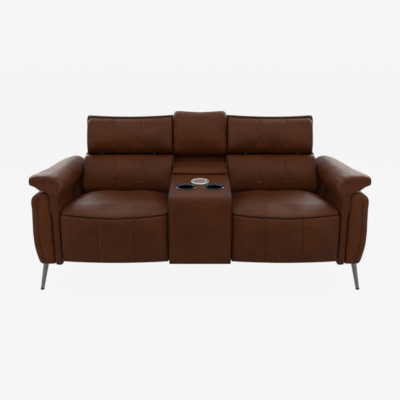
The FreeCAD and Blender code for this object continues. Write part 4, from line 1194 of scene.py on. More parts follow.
    def lumbar_outline(self, x: float) -> Array:
        """The lumbar cushion's side view: fullest low down, rolling over at the top."""
        low, high = self.lumbar
        low -= 0.012 * PLAN.from_middle(x) ** 3
        corners = [
            PLAN.at(0.001, low), PLAN.at(-0.094, low), PLAN.at(-0.128, low + 0.040),
            PLAN.at(-0.118, 0.5 * (low + high)), PLAN.at(-0.098, high - 0.040), PLAN.at(-0.064, high),
            PLAN.at(0.001, high),
        ]
        return soft_loop(corners, (0, 0.004, 0.004, 0.003, 0.006, 0.002, 0), 0.010, 170)

    def make_lumbar(self) -> None:
        """Lumbar cushion with two sewn channels, its lower corner spread towards the arm."""
        span = (self.back_span[0] + 0.003, self.back_span[1] - 0.003)
        rings = padded_rings(self.lumbar_outline, span, end=0.018, count=44, first_end=0.010)
        pad = close_loft("right_lumbar_cushion", rings)
        bottom, top = self.lumbar
        low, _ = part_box("right_lumbar_cushion")
        self.back_stuffing.fill(
            pad,
            lambda p: pinned(
                p[:, 1] > PLAN.frame_y(p[:, 2]) - 0.008, p[:, 2] < bottom + 0.014, p[:, 2] > top - 0.008,
                self.end_hold(p, *self.back_span)),
            (self.back_span[0], low.y - 0.008, bottom - 0.012), (self.back_span[1], 0.5, top + 0.001))
        mesh = pad.data
        spanned(mesh, self.back_span)
        channels = [Channel(x, bottom + 0.075, top - 0.010) for x in self.back_channels]
        self.sew(mesh, channels)
        points = read_points(mesh)
        points[:, 0] += 0.006 * eased(ramp(points[:, 2], 0.655, -0.080) * ramp(points[:, 0], 0.68, 0.09))
        write_points(mesh, points)
        self.rumple(mesh, 0.0009, 2.1)
        self.finish(pad, Finishes.leather, "right_backrest", "leather", ["right_lumbar_cushion"], 0.85)
        self.stitch_beside("right_lumbar_stitches", mesh, channels, 0.008, "right_backrest")

    def head_top(self, x: Array) -> Array:
        """Height of the headrest's top edge: it dips in the middle by the square of the distance from there."""
        return self.headrest[1] - 0.012 * (1.0 - np.minimum(np.abs(PLAN.across(x)), 1.0) ** 2)

    def head_front(self, x: float) -> Array:
        """The headrest's front pad from the side: turned under below, crowned, set back from the shell's edge."""
        low, high = self.headrest[0], float(self.head_top(x)) - 0.013
        corners = [
            PLAN.at(0.060, low + 0.002), PLAN.at(-0.040, low + 0.002), PLAN.at(-0.084, low + 0.040),
            PLAN.at(-0.088, 0.5 * (low + high)), PLAN.at(-0.078, high - 0.050), PLAN.at(-0.030, high),
            PLAN.at(0.060, high),
        ]
        return soft_loop(corners, (0, 0.006, 0.004, 0.003, 0.008, 0, 0), 0.009, 170)

    def head_shell(self, x: float) -> Array:
        """The headrest's rear shell from the side, its front edge standing a little proud of the pad."""
        low, high = self.headrest[0], float(self.head_top(x))
        corners = [
            PLAN.at(0.198, low), PLAN.at(-0.022, low), PLAN.at(-0.018, high - 0.012),
            PLAN.at(-0.006, high), PLAN.at(0.168, high - 0.020), PLAN.at(0.198, high - 0.052),
        ]
        return soft_loop(corners, (0, 0, 0, 0.001, 0.002, 0.003), 0.005, 200)

    def make_headrest(self) -> None:
        """Headrest: a channelled front pad framed by the edge of its rear shell, whose darker leather is painted
        shade.
        """
        inner, outer = self.head_span
        bottom = self.headrest[0]
        rings = padded_rings(self.head_front, (inner + 0.005, outer - 0.013), end=0.024, count=44, first_end=0.014)
        pad = close_loft("right_headrest_cushion", rings)
        low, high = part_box("right_headrest_cushion")
        self.back_stuffing.fill(
            pad,
            lambda p: pinned(
                p[:, 1] > PLAN.frame_y(p[:, 2]) - 0.030, p[:, 2] < bottom + 0.006,
                p[:, 2] > self.head_top(p[:, 0]) - 0.024, p[:, 0] > outer - 0.026, self.end_hold(p, inner, outer)),
            (inner + 0.003, low.y - 0.008, bottom), (outer - 0.011, 0.6, high.z - 0.009))
        mesh = pad.data
        spanned(mesh, (inner + 0.003, outer - 0.008))
        channels = [Channel(x, bottom + 0.060, self.head_seam_top) for x in self.back_channels]
        self.sew(mesh, channels)
        self.rumple(mesh, 0.0010, 4.4)
        self.finish(pad, Finishes.leather, "right_headrest", "leather", ["right_headrest_cushion"], 0.85)
        self.stitch_beside("right_headrest_stitches", mesh, channels, 0.008, "right_headrest")
        rings = padded_rings(self.head_shell, self.head_span, end=0.012, count=44)
        shell = close_loft("right_headrest_shell", rings)
        self.finish(shell, Finishes.back_leather, "right_headrest", "leather")
        self.seam("right_headrest_piping", self.head_rim(), "right_headrest", 0.0036)

    def head_rim(self) -> Array:
        """The shell's front rim, up one end, over the top and down the other.

        Returns:
            (n, 3) points, evened out so that the corners are round.
        """
        inner, outer = self.head_span[0] + 0.004, self.head_span[1] - 0.004
        x = np.linspace(inner, outer, 120)
        height = self.head_top(x) - 0.005
        top = np.column_stack([x, PLAN.frame_y(height) - 0.014, height])
        z = np.linspace(self.headrest[0] + 0.012, float(self.head_top(self.head_span[1])) - 0.014, 60)
        near, far = (np.column_stack([np.full(60, place), PLAN.frame_y(z) - 0.018, z]) for place in (inner, outer))
        return slackened(np.concatenate([near, top[4:-4], far[::-1]]), 7)

    def make_back_cover(self) -> None:
        """Leather shell behind the back: a U with rounded corners, carried up the lean and given its wall."""
        low, high = self.cover_span
        deep, radius, rows = self.cover_depth, 0.022, 26
        turn = np.linspace(0.0, QUARTER_TURN, 9)
        near = np.column_stack([low + radius - radius * np.cos(turn), deep - radius + radius * np.sin(turn)])
        far = near[::-1] * (-1.0, 1.0) + (low + high, 0.0)
        across = np.linspace(near[-1, 0], far[0, 0], 30)[1:-1]
        walls = np.linspace(0.001, deep - radius, 12)[:-1]
        plan = np.concatenate([
            np.column_stack([np.full(len(walls), low), walls]), near,
            np.column_stack([across, np.full(len(across), deep)]), far,
            np.column_stack([np.full(len(walls), high), walls[::-1]]),
        ])
        z, x = np.meshgrid(np.linspace(*self.cover_rise, rows), plan[:, 0], indexing="ij")
        depth = plan[None, :, 1]
        slack = 0.002 * np.sin(np.pi * (z - 0.43) / 0.308) * ramp(depth, 0.17, 0.02)
        points = np.stack([x, PLAN.frame_y(z) + depth - slack, z], -1)
        shell = add_mesh("right_back_cover", points.reshape(-1, 3), grid_faces(rows, len(plan), False))
        thick = shell.modifiers.new("wall", "SOLIDIFY")
        thick.thickness, thick.offset = 0.012, -1.0
        baked(shell)
        if read_points(shell.data)[:, 0].min() < low - 0.001:
            raise ValueError("the back cover's wall grew outwards")
        self.finish(shell, Finishes.back_leather, "right_backrest", "back_leather", ["right_back_cover"], 0.4)
        height = np.linspace(0.440, 0.730, 60)
        for number, place in enumerate((low + 0.024, high - 0.024)):
            row = np.column_stack([np.full(60, place), PLAN.frame_y(height) + deep + 0.0003, height])
            self.topstitch(f"right_back_stitches_{number}", row, "right_backrest")
        hem = np.column_stack([across, np.full(28, float(PLAN.frame_y(0.444)) + deep + 0.0003), np.full(28, 0.444)])
        self.topstitch("right_back_hem_stitches", hem, "right_backrest")

    def flat_strip(self, name: str, levels: Sequence[tuple[float, float, float]], inner: float, behind: float,
                   finish: Finish) -> None:
        """A flat-sided strip that leans with the back frame.

        Args:
            name: the piece's name.
            levels: height, depth in front of the frame and outer edge, from the bottom up.
            inner: its inner edge.
            behind: how far its rear stands off the frame.
            finish: its finish.
        """
        rings = []
        for z, reach, outer in levels:
            near, far = PLAN.frame_y(z) - reach, PLAN.frame_y(z) - behind
            rings.append([(inner, far, z), (inner, near, z), (outer, near, z), (outer, far, z)])
        strip = close_loft(name, np.array(rings))
        shade(strip.data, False)
        self.finish(strip, finish, "right_backrest", "back_leather")

    def make_lining(self) -> None:
        """Black lining over the front of the back frame, and a leather gusset between it and the lumbar cushion, in
        the darker leather that paints shade.
        """
        levels = ((0.436, 0.0045, 0.8030), (0.560, 0.0045, 0.8028), (0.605, 0.0045, 0.7860),
                  (0.640, 0.0045, 0.7740), (0.738, 0.0045, 0.7740))
        self.flat_strip("right_back_lining", levels, self.cover_span[0] - 0.001, 0.0015, Finishes.lining)
        levels = ((0.487, 0.096, 0.8032), (0.565, 0.092, 0.8028), (0.596, 0.080, 0.7905))
        # the gusset's darker leather is painted shade in the gap beside the arm
        self.flat_strip("right_back_gusset", levels, 0.7765, 0.0050, Finishes.back_leather)

    def make_springs(self) -> None:
        """Five zigzag seat springs: x swings as a flattened sine while y runs from tube to tube."""
        low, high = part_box("right_seat_springs")
        t = np.linspace(0.0, 1.0, 220)
        swing = np.tanh(1.7 * np.sin(12.0 * np.pi * t)) / math.tanh(1.7)
        y = low.y + 0.003 + (high.y - low.y - 0.006) * (t + 0.012 * np.sin(24.0 * np.pi * t))
        level = np.full(len(t), 0.5 * (low.z + high.z))
        for number in range(5):
            middle = PLAN.seat_in + 2.0 * PLAN.seat_half * (number + 1) / 6.0
            spring = sweep(f"right_spring_{number}", np.column_stack([middle + 0.020 * swing, y, level]), 0.00195)
            stands_for = [] if number else ["right_seat_springs"]
            self.finish(spring, Finishes.spring_wire, "right_carriage", "spring_wire", stands_for)

    def dress_steel(self) -> None:
        """Give the mechanism's own solids their finishes."""
        for word in ("base_rails", "seat_frame", "back_frame", "headrest_frame", "rear_links", "front_links"):
            dress(f"right_{word}", Finishes.black_steel)
        for word in ("recline_motor", "footrest_motor", "headrest_motor", "footrest_nut"):
            dress(f"right_{word}", Finishes.motor_plastic)
        dress("right_footrest_board", Finishes.stained_board)

    def build(self) -> None:
        """Make and dress the whole seat."""
        self.make_seat()
        self.make_panel()
        self.make_lumbar()
        self.make_headrest()
        self.make_back_cover()
        self.make_lining()
        self.make_springs()
        self.dress_steel()


# ---------------------------------------------------------------- console
def bored(piece: bpy.types.Object, cutters: Sequence[bpy.types.Object]) -> None:
    """Cut holes into a piece, sharpen the cut edges, and take the cutters away."""
    for number, cutter in enumerate(cutters):
        tool = piece.modifiers.new(f"hole_{number}", "BOOLEAN")
        tool.operation, tool.solver, tool.object = "DIFFERENCE", "EXACT", cutter
    baked(piece)
    piece.data.set_sharp_from_angle(angle=math.radians(38.0))
    for cutter in cutters:
        mesh = cutter.data
        bpy.data.objects.remove(cutter)
        bpy.data.meshes.remove(mesh)


def box_cutter(low: Sequence[float], high: Sequence[float]) -> bpy.types.Object:
    """A plain box that only cuts, between two opposite corners."""
    corners = np.stack(np.meshgrid(*zip(low, high), indexing="ij"), -1).reshape(-1, 3)
    quads = np.array([[0, 1, 3, 2], [4, 6, 7, 5], [0, 4, 5, 1], [2, 3, 7, 6], [0, 2, 6, 4], [1, 5, 7, 3]])
    return add_mesh("cutter", corners, quads)


@dataclass
class Console(Maker):
    """The console: wrapped body, lid, bolster, cups, disc and bin."""

    front: float = -0.472
    bottom: float = 0.207
    top_front: float = 0.615
    top_rear: float = 0.650
    slope_start: float = -0.440
    slope_end: float = -0.040
    rear: float = 0.300
    back_foot: float = 0.232
    back_bulge: float = 0.168
    back_top: float = 1.010
    cup_place: Span = (0.083, -0.285)
    cup_hole: float = 0.0468
    disc_place: Span = (0.0, -0.185)
    disc_hole: float = 0.0398
    slack: float = 0.0003
    side_seam: float = 0.164
    lid_stuffing: Stuffing = Stuffing(voxel=0.005, cap=0.008, pressure=3.0)
    bolster_stuffing: Stuffing = Stuffing(voxel=0.006, cap=0.016)

    @property
    def slope(self) -> float:
        """Angle of the sloping top."""
        return math.atan2(self.top_rear - self.top_front, self.slope_end - self.slope_start)

    def on_top(self, points: Array, x: float, y: float) -> Array:
        """Stand points square on the sloping top at a place across and along."""
        c, s = math.cos(self.slope), math.sin(self.slope)
        height = self.top_front + (y - self.slope_start) * math.tan(self.slope)
        return np.stack([points[:, 0] + x, points[:, 1] * c - points[:, 2] * s + y,
                         points[:, 1] * s + points[:, 2] * c + height], 1)

    def lathe(self, name: str, profile: Sequence[Span], place: Span, turns: int) -> bpy.types.Object:
        """A turned piece on the top: (r cos a, r sin a, h) for each (r, h) of a closed section.

        Args:
            name: the piece's name.
            profile: the section's points.
            place: where it stands, across and along.
            turns: number of sections round it.

        Returns:
            The new object.
        """
        section = np.array(profile)
        angle = np.linspace(0.0, FULL_TURN, turns, endpoint=False)[:, None]
        rings = np.stack([section[:, 0] * np.cos(angle), section[:, 0] * np.sin(angle),
                          np.broadcast_to(section[:, 1], (turns, len(section)))], -1)
        points = self.on_top(rings.reshape(-1, 3), *place)
        piece = add_mesh(name, points, grid_faces(turns + 1, len(section), True) % (turns * len(section)))
        piece.data.set_sharp_from_angle(angle=math.radians(40.0))
        return piece

    def bore(self, radius: float, place: Span) -> bpy.types.Object:
        """A round cutter square to the sloping top."""
        angle = np.linspace(0.0, FULL_TURN, 48, endpoint=False)
        rings = np.stack([np.column_stack([radius * np.cos(angle), radius * np.sin(angle), np.full(48, height)])
                          for height in (-0.09, 0.05)])
        tool = close_loft("cutter", rings)
        write_points(tool.data, self.on_top(read_points(tool.data), *place))
        return tool

    def cover_outline(self) -> Array:
        """The body's side view: front, sloping top, rear and bottom, with soft edges."""
        front, top = self.front, self.top_front
        corners = [
            (front + 0.006, self.bottom), (front - 0.004, 0.5 * (self.bottom + top)), (front - 0.002, top - 0.070),
            (front + 0.006, top - 0.020), (front + 0.024, top - 0.003), (self.slope_start + 0.03, top + 0.0025),
            (self.slope_end, self.top_rear), (self.rear, self.top_rear), (self.rear, self.bottom),
        ]
        return soft_loop(corners, (0.001, 0.001, 0.001, 0.002, 0, 0, 0, 0, 0), 0.006, 320)

    def make_cover(self) -> None:
        """Leather body: front, top and sides, open below over its timber box, with a piped seam along each edge."""
        section, half = self.cover_outline(), PLAN.console_half
        cover = close_loft("console_cover", padded_rings(lambda x: section, (-half, half), end=0.008, count=30))
        low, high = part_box("console_frame")
        slack = self.slack
        bored(cover, [
            box_cutter((low.x - slack, low.y - slack, 0.15), (high.x + slack, high.y + slack, high.z + slack)),
            box_cutter((-0.12 - slack, -0.025 - slack, 0.45), (0.12 + slack, 0.165 + slack, 0.70)),
            self.bore(self.cup_hole, (-self.cup_place[0], self.cup_place[1])),
            self.bore(self.cup_hole, self.cup_place), self.bore(self.disc_hole, self.disc_place),
        ])
        self.finish(cover, Finishes.leather, "root", "leather", ["console_cover"], 0.5)
        run = section[(section[:, 1] > self.bottom + 0.002) & (section[:, 0] < self.slope_end - 0.006)]
        self.seam("right_console_piping", np.column_stack([np.full(len(run), half - 0.0032), run]), "root", 0.0022)
        lifted = drawn_in(section, -0.0003)
        nearest = np.argmin(((run[:, None] - lifted[None]) ** 2).sum(-1), 1)
        row = np.column_stack([np.full(len(run), half - 0.017), lifted[nearest]])
        self.topstitch("right_console_stitches", row, "root")

    def make_lid(self) -> None:
        """Padded lid: crowned, with a seam along its front."""
        low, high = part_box("console_lid")
        front, rear, base = low.y - 0.010, high.y - 0.001, low.z
        corners = [
            (front + 0.004, base), (front, base + 0.014), (front + 0.012, high.z - 0.010),
            (front + 0.040, high.z - 0.004), (rear - 0.020, high.z - 0.005), (rear, high.z - 0.020), (rear, base),
        ]
        section = soft_loop(corners, (0, 0, 0.001, 0.003, 0, 0, 0), 0.005, 150)
        half = PLAN.console_half - 0.002
        lid = close_loft("console_lid", padded_rings(lambda x: section, (-half, half), end=0.016, count=34))
        self.lid_stuffing.fill(
            lid, lambda p: pinned(p[:, 2] < base + 0.010),
            (low.x + 0.001, low.y - 0.011, base), (high.x - 0.001, high.y, high.z + 0.004))
        x = np.linspace(-half + 0.012, half - 0.012, 90)
        line = np.column_stack([x, np.full(90, front + 0.004), np.full(90, base + 0.024)])
        row = settled(line, lid.data, 0.0003, 11)
        self.finish(lid, Finishes.leather, "lid", "leather", ["console_lid"], 0.7)
        self.topstitch("console_lid_stitches", row, "lid")

    def bolster_outline(self, x: float) -> Array:
        """The fixed back's side view: a straight foot, then a bolster that stands out over the lid."""
        share = min(abs(x) / (0.8 * PLAN.console_half), 1.0)
        corner = min(max(abs(x) - 0.152, 0.0) / 0.028, 1.0)
        top = self.back_top - 0.008 * (1.0 - share ** 2) - 0.024 * (1.0 - math.sqrt(1.0 - corner * corner))
        low, foot, bulge = self.top_rear, self.back_foot, self.back_bulge
        rear_top = self.rear + (top - low - 0.034) * PLAN.lean
        corners = [
            (foot + 0.001, low + 0.0003), (foot + 0.008, low + 0.060), (bulge + 0.020, low + 0.088),
            (bulge + 0.002, low + 0.125), (bulge + 0.008, low + 0.190), (bulge + 0.030, top - 0.080),
            (bulge + 0.062, top - 0.016), (bulge + 0.100, top), (rear_top - 0.024, top),
            (rear_top, top - 0.032), (self.rear, low + 0.0003),
        ]
        return soft_loop(corners, (0, 0, 0.002, 0.001, 0.003, 0.003, 0.002, 0.001, 0, 0, 0), 0.007, 240)

    def make_bolster(self) -> None:
        """The fixed back between the headrests, with a seam down each side edge."""
        half = PLAN.console_half + 0.0003
        rings = padded_rings(self.bolster_outline, (-half, half), end=0.010, count=70)
        pad = close_loft("console_back_cushion", rings)
        low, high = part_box("console_back_cushion")
        self.bolster_stuffing.fill(
            pad,
            lambda p: pinned(
                p[:, 2] < low.z + 0.090,
                p[:, 1] > self.rear + (p[:, 2] - self.top_rear) * PLAN.lean - 0.012),
            (-half, low.y - 0.004, low.z), (half, high.y + 0.002, high.z + 0.002))
        mesh = pad.data
        spanned(mesh, (-half, half))
        self.sew(mesh, [Channel(side.value * self.side_seam, low.z + 0.10, high.z - 0.012, depth=0.004, width=0.004)
                        for side in Side])
        self.rumple(mesh, 0.0010, 1.7)
        seam = Channel(self.side_seam, low.z + 0.10, high.z - 0.030)
        row = seam.line(read_points(mesh), read_normals(mesh), -0.007)
        self.finish(pad, Finishes.leather, "root", "leather", ["console_back_cushion"], 0.8)
        self.topstitch("right_console_back_stitches", row, "root")

    def make_cups(self) -> None:
        """Two turned cups with a rolled rim and a rubber-dark floor, and the silver disc between them."""
        wall = [
            (0.0005, -0.0700), (0.0455, -0.0700), (0.0460, -0.0690), (0.0460, -0.0002), (0.0598, -0.0002),
            (0.0608, 0.0008), (0.0606, 0.0026), (0.0588, 0.0040), (0.0550, 0.0050), (0.0505, 0.0050),
            (0.0465, 0.0036), (0.0440, 0.0008), (0.0430, -0.0030), (0.0428, -0.0600), (0.0410, -0.0655),
            (0.0370, -0.0670), (0.0005, -0.0670),
        ]
        mat = [
            (0.0005, -0.0668), (0.0360, -0.0668), (0.0366, -0.0660), (0.0360, -0.0652), (0.0300, -0.0652),
            (0.0290, -0.0658), (0.0220, -0.0658), (0.0210, -0.0652), (0.0005, -0.0652),
        ]
        plate = [
            (0.0005, -0.0050), (0.0390, -0.0050), (0.0390, -0.0002), (0.0550, -0.0002), (0.0560, 0.0008),
            (0.0558, 0.0030), (0.0545, 0.0044), (0.0520, 0.0050), (0.0450, 0.0050), (0.0436, 0.0046),
            (0.0424, 0.0034), (0.0410, 0.0031), (0.0405, 0.0026), (0.0395, 0.0026), (0.0390, 0.0031),
            (0.0005, 0.0031),
        ]
        for name, profile, place, turns, finish, slot, stands_for in (
            ("right_cup_holder", wall, self.cup_place, 72, Finishes.cup_metal, "cup_metal", ["right_cup_holder"]),
            ("right_cup_mat", mat, self.cup_place, 48, Finishes.glide_plastic, "cup_metal", []),
            ("charging_disc", plate, self.disc_place, 96, Finishes.disc_metal, "disc_metal", ["charging_disc"]),
        ):
            self.finish(self.lathe(name, profile, place, turns), finish, "root", slot, stands_for)

    def build(self) -> None:
        """Make and dress the console."""
        self.make_cover()
        self.make_lid()
        self.make_bolster()
        self.make_cups()
        dress("console_frame", Finishes.timber)
        dress("storage_bin", Finishes.bin_plastic)
        # the rear base takes the darker leather, painted shade
        dress("rear_base", Finishes.back_leather)
        dress("power_supply", Finishes.motor_plastic)


# ---------------------------------------------------------------- arms and legs
@dataclass
class Arm(Maker):
    """One arm: a padded slab whose top flares out as a wing, over a bulged outer panel."""

    front: float = -0.445
    rear: float = 0.366
    panel_front: float = -0.432
    bottom: float = 0.190
    roll_overhang: float = 0.025
    wing_height: float = 0.737
    panel_top: float = 0.631
    panel_out: float = 0.975
    stations: tuple[float, ...] = (-0.445, -0.30, -0.10, 0.10, 0.25, 0.35, 0.366)
    reaches: tuple[float, ...] = (0.118, 0.099, 0.082, 0.069, 0.062, 0.058, 0.054)
    drops: tuple[float, ...] = (0.000, 0.013, 0.025, 0.025, 0.029, 0.039, 0.044)
    foot_out: float = 0.9647
    knee_out: float = 0.9247
    leg_height: float = 0.187
    pad_stuffing: Stuffing = Stuffing(voxel=0.0075, cap=0.012, pressure=3.0)
    panel_stuffing: Stuffing = Stuffing(voxel=0.0075, cap=0.006, pressure=2.0)

    def pad_outline(self, y: float) -> Array:
        """The arm's section (x, z): flat slab, inner roll, crowned top, wing tip and underside."""
        reach = float(np.interp(y, self.stations, self.reaches))
        top = self.wing_height - 0.002 - float(np.interp(y, self.stations, self.drops))
        inner, outer = PLAN.slab_in + 0.0008, PLAN.slab_out - 0.0005
        roll, tip = inner - self.roll_overhang + 0.003, outer + reach - 0.004
        crest, shoulder, throat = outer + 0.45 * reach, 0.640, 0.607
        corners = [
            (inner, self.bottom), (inner, 0.572), (roll - 0.001, top - 0.088), (roll + 0.010, top - 0.046),
            (roll + 0.050, top - 0.012), (crest, top + 0.001), (tip - 0.014, top + 0.001), (tip + 0.042, top - 0.019),
            (tip - 0.020, top - 0.050), (tip - 0.054, top - 0.080), (outer + 0.022, shoulder), (outer, throat),
            (outer, self.bottom),
        ]
        return soft_loop(corners, (0, 0.002, 0.002, 0.003, 0.004, 0.002, 0.001, 0.002, 0.001, 0, 0, 0, 0), 0.008, 300)

    def nosed(self, points: Array) -> Array:
        """Round the wing's front over: a distance d behind it, the top sinks by 26 mm exp(-d / 40 mm).

        Args:
            points: (n, 3) places of the arm.

        Returns:
            The moved places; the top also goes back a little, and the tip in.
        """
        high = eased(ramp(points[:, 2], 0.610, 0.110))
        near = np.exp(-(points[:, 1] - self.front) / 0.040)
        tip = ramp(points[:, 0], 0.90, 0.06)
        return points + np.stack([-0.004 * near * tip, 0.018 * near * high, -0.026 * near * high], 1)

    def panel_outline(self, y: float) -> Array:
        """The outer panel's section (x, z): flat against the slab, bulged outside."""
        inner, low, top, out = PLAN.slab_out + 0.0006, self.bottom, self.panel_top - 0.001, self.panel_out - 0.003
        corners = [
            (inner, low), (inner, top - 0.030), (inner + 0.020, top - 0.002), (inner + 0.072, top + 0.001),
            (out - 0.006, top - 0.032), (out - 0.002, 0.531), (out + 0.002, 0.440), (out + 0.002, 0.347),
            (out - 0.007, 0.262), (out - 0.020, 0.208), (out - 0.037, low),
        ]
        return soft_loop(corners, (0, 0, 0.001, 0.003, 0.002, 0.001, 0.001, 0.001, 0.001, 0.001, 0), 0.007, 240)

    def front_row(self, line: Array, y: float, mesh: bpy.types.Mesh, lift: float, smooth: int) -> Array:
        """An (x, z) line laid on a piece's front, from just before a depth y."""
        return settled(np.insert(line, 1, y, axis=1), mesh, lift, smooth)

    def make_pad(self) -> None:
        """The arm's leather, its front edge seam and the stitches beside it."""
        rings = padded_rings(self.pad_outline, (self.front, self.rear), end=0.011, count=60, steps=8, axis=1)
        pad = close_loft("right_arm_pad", rings)
        low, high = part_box("right_arm_pad")
        self.pad_stuffing.fill(
            pad,
            lambda p: pinned(
                ramp(p[:, 2], 0.600, -0.02), (p[:, 0] < PLAN.slab_out + 0.02) & (p[:, 2] < 0.640),
                ramp(p[:, 0], PLAN.slab_out + 0.035, 0.03), p[:, 1] < self.front + 0.008),
            (low.x - 0.003, self.front, self.bottom), (high.x + 0.006, self.rear, high.z + 0.006))
        mesh = pad.data
        write_points(mesh, self.nosed(read_points(mesh)))
        points, normals = read_points(mesh), read_normals(mesh)
        points = wandering(points, normals * (points[:, 2:] > 0.62) * (normals[:, 2:] > 0.1), 0.0014, 3.3)
        folds = Folds((0.83, -0.40, 0.71), (0.05, 0.05, 0.05), 0.0013, 1.2, 6.0)
        write_points(mesh, folds.press(points, normals))
        z = np.linspace(self.bottom + 0.006, 0.600, 110)
        edge = np.column_stack([np.full(110, PLAN.slab_in + 0.0040), z])
        row = np.column_stack([np.full(110, PLAN.slab_in + 0.0135), z])
        edge = self.front_row(edge, self.front + 0.002, mesh, 0.0, 9)
        row = self.front_row(row, self.front, mesh, 0.0004, 9)
        self.finish(pad, Finishes.leather, "root", "leather", ["right_arm_pad"], 0.6)
        self.seam("right_arm_front_piping", edge, "root", 0.0020)
        self.topstitch("right_arm_front_stitches", row, "root")

    def corner_line(self) -> Array:
        """The (x, z) line of the panel's corner seam, 40 mm inside its outline, from the bottom up."""
        inset = drawn_in(self.panel_outline(0.0), 0.040)
        outer = inset[inset[:, 0] > PLAN.slab_out + 0.055]
        outer = outer[np.argsort(outer[:, 1])]
        outer = outer[(outer[:, 1] > self.bottom + 0.004) & (outer[:, 1] < self.panel_top - 0.030)]
        foot = np.column_stack([np.full(10, outer[0, 0]), np.linspace(self.bottom + 0.003, outer[0, 1], 10)])
        return np.concatenate([foot[:-1], outer])

    def make_panel(self) -> None:
        """The outer panel with the seam that runs down its front corner."""
        rings = padded_rings(self.panel_outline, (self.panel_front, self.rear), end=0.018, count=60, steps=8, axis=1)
        pad = close_loft("right_side_panel", rings)
        _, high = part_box("right_side_panel")
        self.panel_stuffing.fill(
            pad, lambda p: pinned(p[:, 0] < PLAN.slab_out + 0.010, p[:, 2] < self.bottom + 0.008),
            (PLAN.slab_out + 0.0003, self.panel_front - 0.004, self.bottom),
            (high.x + 0.010, self.rear, high.z + 0.004))
        mesh, line = pad.data, self.corner_line()
        path = self.front_row(line, self.panel_front, mesh, 0.0002, 15)
        beside = self.front_row(line - (0.010, 0.0), self.panel_front, mesh, 0.0004, 15)
        points, normals = read_points(mesh), read_normals(mesh)
        gap = np.full(len(points), 1.0)
        close = points[:, 1] < self.panel_front + 0.05
        gap[close] = np.min(np.linalg.norm(points[close][:, None, ::2] - path[None, ::3, ::2], axis=-1), axis=1)
        sink = 0.0035 * np.exp(-gap / 0.006) * np.clip(-normals[:, 1] * 1.5, 0, 1)
        write_points(mesh, points - normals * sink[:, None])
        path[:, 1] += 0.0022
        # the outer panel's lighter leather is painted light
        self.finish(pad, Finishes.lit_side_leather, "root", "leather", ["right_side_panel"], 0.6)
        self.seam("right_panel_corner_piping", path, "root", 0.0022)
        self.topstitch("right_panel_corner_stitches", beside, "root")

    def make_glide(self, name: str, y: float) -> None:
        """Black glide round a leg's foot.

        Its four corners lie round the leg's own slanted middle line at each height.

        Args:
            name: the piece's name.
            y: where the leg stands along the arm.
        """
        heights = np.array([0.0, 0.0012, 0.0102, 0.0112])[:, None]
        reach = 1.02 * np.array([0.0110, 0.0122, 0.0122, 0.0112])[:, None]
        angle = np.arange(4) * QUARTER_TURN
        middle = self.foot_out + (self.knee_out - self.foot_out) * heights / self.leg_height
        rings = np.stack([middle + reach * np.cos(angle), y + reach * np.sin(angle), np.tile(heights, 4)], -1)
        glide = close_loft(name, rings)
        shade(glide.data, False)
        self.finish(glide, Finishes.glide_plastic, "root", "leg_metal")

    def build(self) -> None:
        """Make and dress the whole arm with its legs and switches."""
        self.make_pad()
        self.make_panel()
        for word, y in (("front_leg", -0.360), ("rear_leg", 0.290)):
            dress(f"right_{word}", Finishes.leg_metal)
            self.make_glide(f"right_{word}_glide", y)
        dress("right_arm_frame", Finishes.timber)
        for word in ("control_panel", "recline_rocker", "headrest_rocker"):
            dress(f"right_{word}", Finishes.switch_plastic)


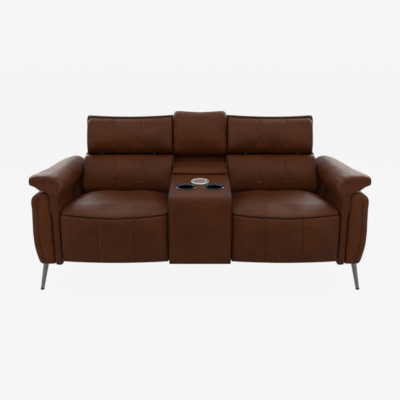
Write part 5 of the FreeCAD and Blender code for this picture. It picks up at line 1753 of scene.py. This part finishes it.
# ---------------------------------------------------------------- studio
@dataclass
class Studio:
    """The pale floor, backdrop colour, soft lamps and the photo's camera."""

    camera_place: Place = (0.0, -3.36, 1.40)
    camera_pitch: float = 74.5
    focal: float = 47.97
    sensor: float = 36.0
    backdrop: tuple[float, float, float, float] = (0.922, 0.922, 0.922, 1.0)
    floor_glow: float = 0.985
    ambient: float = 0.22
    top_power: float = 56.0
    rear_power: float = 84.0
    side_power: float = 32.0

    def seen(self, graph: Graph) -> Socket:
        """1 for rays from the camera and in reflections or glass, 0 for the light that falls on the sofa."""
        rays = graph.add("ShaderNodeLightPath").outputs
        return graph.sum("MAXIMUM", graph.sum("MAXIMUM", rays["Is Camera Ray"], rays["Is Glossy Ray"]),
                         rays["Is Transmission Ray"])

    def floor(self) -> None:
        """A wide pale floor that only the stage shows."""
        quad = np.array([[-30.0, -30.0, 0.0], [30.0, -30.0, 0.0], [30.0, 60.0, 0.0], [-30.0, 60.0, 0.0]])
        floor = add_mesh("floor", quad, np.array([[0, 1, 2, 3]]))
        material = bpy.data.materials.new("pale_floor")
        material.use_nodes = True
        graph = Graph(material.node_tree)
        shader, out = (material.node_tree.nodes[name] for name in ("Principled BSDF", "Material Output"))
        graph.fill(shader, {"Base Color": (0.50, 0.50, 0.50, 1.0), "Roughness": 0.75, "Specular IOR Level": 0.1})
        glow = graph.add("ShaderNodeEmission", {"Color": self.backdrop})
        share = graph.sum("MULTIPLY", self.seen(graph), self.floor_glow)
        mix = graph.add("ShaderNodeMixShader", {0: share, 1: shader.outputs["BSDF"], 2: glow.outputs["Emission"]})
        graph.fill(out, {"Surface": mix.outputs["Shader"]})
        floor.data.materials.append(material)

    def world(self) -> None:
        """Soft even light on the sofa, and a pale backdrop for the camera and in reflections."""
        world = bpy.data.worlds.new("studio")
        bpy.context.scene.world = world
        world.use_nodes = True
        world.node_tree.nodes.clear()
        graph = Graph(world.node_tree)
        light = graph.add("ShaderNodeBackground", {"Color": (1.0, 0.99, 0.98, 1.0), "Strength": self.ambient})
        shown = graph.add("ShaderNodeBackground", {"Color": self.backdrop, "Strength": 1.0})
        mix = graph.add("ShaderNodeMixShader", {
            0: self.seen(graph), 1: light.outputs["Background"], 2: shown.outputs["Background"]})
        graph.add("ShaderNodeOutputWorld", {"Surface": mix.outputs["Shader"]})

    def lamp(self, name: str, place: Place, aim: Place, power: float, size: Span) -> None:
        """A large soft rectangular lamp that points at a place.

        Args:
            name: the lamp's name.
            place: where it hangs.
            aim: the place that it points at.
            power: its power in watts.
            size: its width and height.
        """
        data = bpy.data.lights.new(name, "AREA")
        data.shape, data.size, data.size_y, data.energy = "RECTANGLE", size[0], size[1], power
        lamp = bpy.data.objects.new(name, data)
        lamp.location = place
        lamp.visible_camera = False
        lamp.rotation_euler = (Vector(aim) - Vector(place)).to_track_quat("-Z", "Y").to_euler()
        bpy.context.scene.collection.objects.link(lamp)

    def camera(self) -> None:
        """The photo's view: level across, tipped down, far enough for little perspective."""
        data = bpy.data.cameras.new("camera")
        data.sensor_width, data.lens = self.sensor, self.focal
        camera = bpy.data.objects.new("camera", data)
        camera.location = self.camera_place
        camera.rotation_euler = Euler((math.radians(self.camera_pitch), 0.0, 0.0))
        bpy.context.scene.collection.objects.link(camera)
        bpy.context.scene.camera = camera

    def build(self) -> None:
        """Set the whole stage."""
        self.floor()
        self.world()
        self.lamp("top_lamp", (0.0, -1.2, 3.0), (0.0, 0.0, 0.5), self.top_power, (3.4, 2.0))
        for side in Side:
            out = side.value
            self.lamp(f"{side.word}_rear_lamp", (out * 2.0, 2.4, 2.2), (out * 0.6, 0.0, 0.7), self.rear_power,
                      (1.8, 1.6))
            self.lamp(f"{side.word}_lamp", (out * 2.9, -2.1, 1.7), (0.0, 0.0, 0.5), self.side_power, (1.6, 2.0))
        self.camera()
        bpy.context.scene.view_settings.view_transform = "Standard"


def main() -> None:
    """Build every sub-assembly and the studio."""
    logging.basicConfig(level=logging.INFO, format="%(name)s: %(message)s")
    for assembly in (SeatUnit(), Arm(), Console(), Studio()):
        assembly.build()


if __name__ == "__main__":
    main()
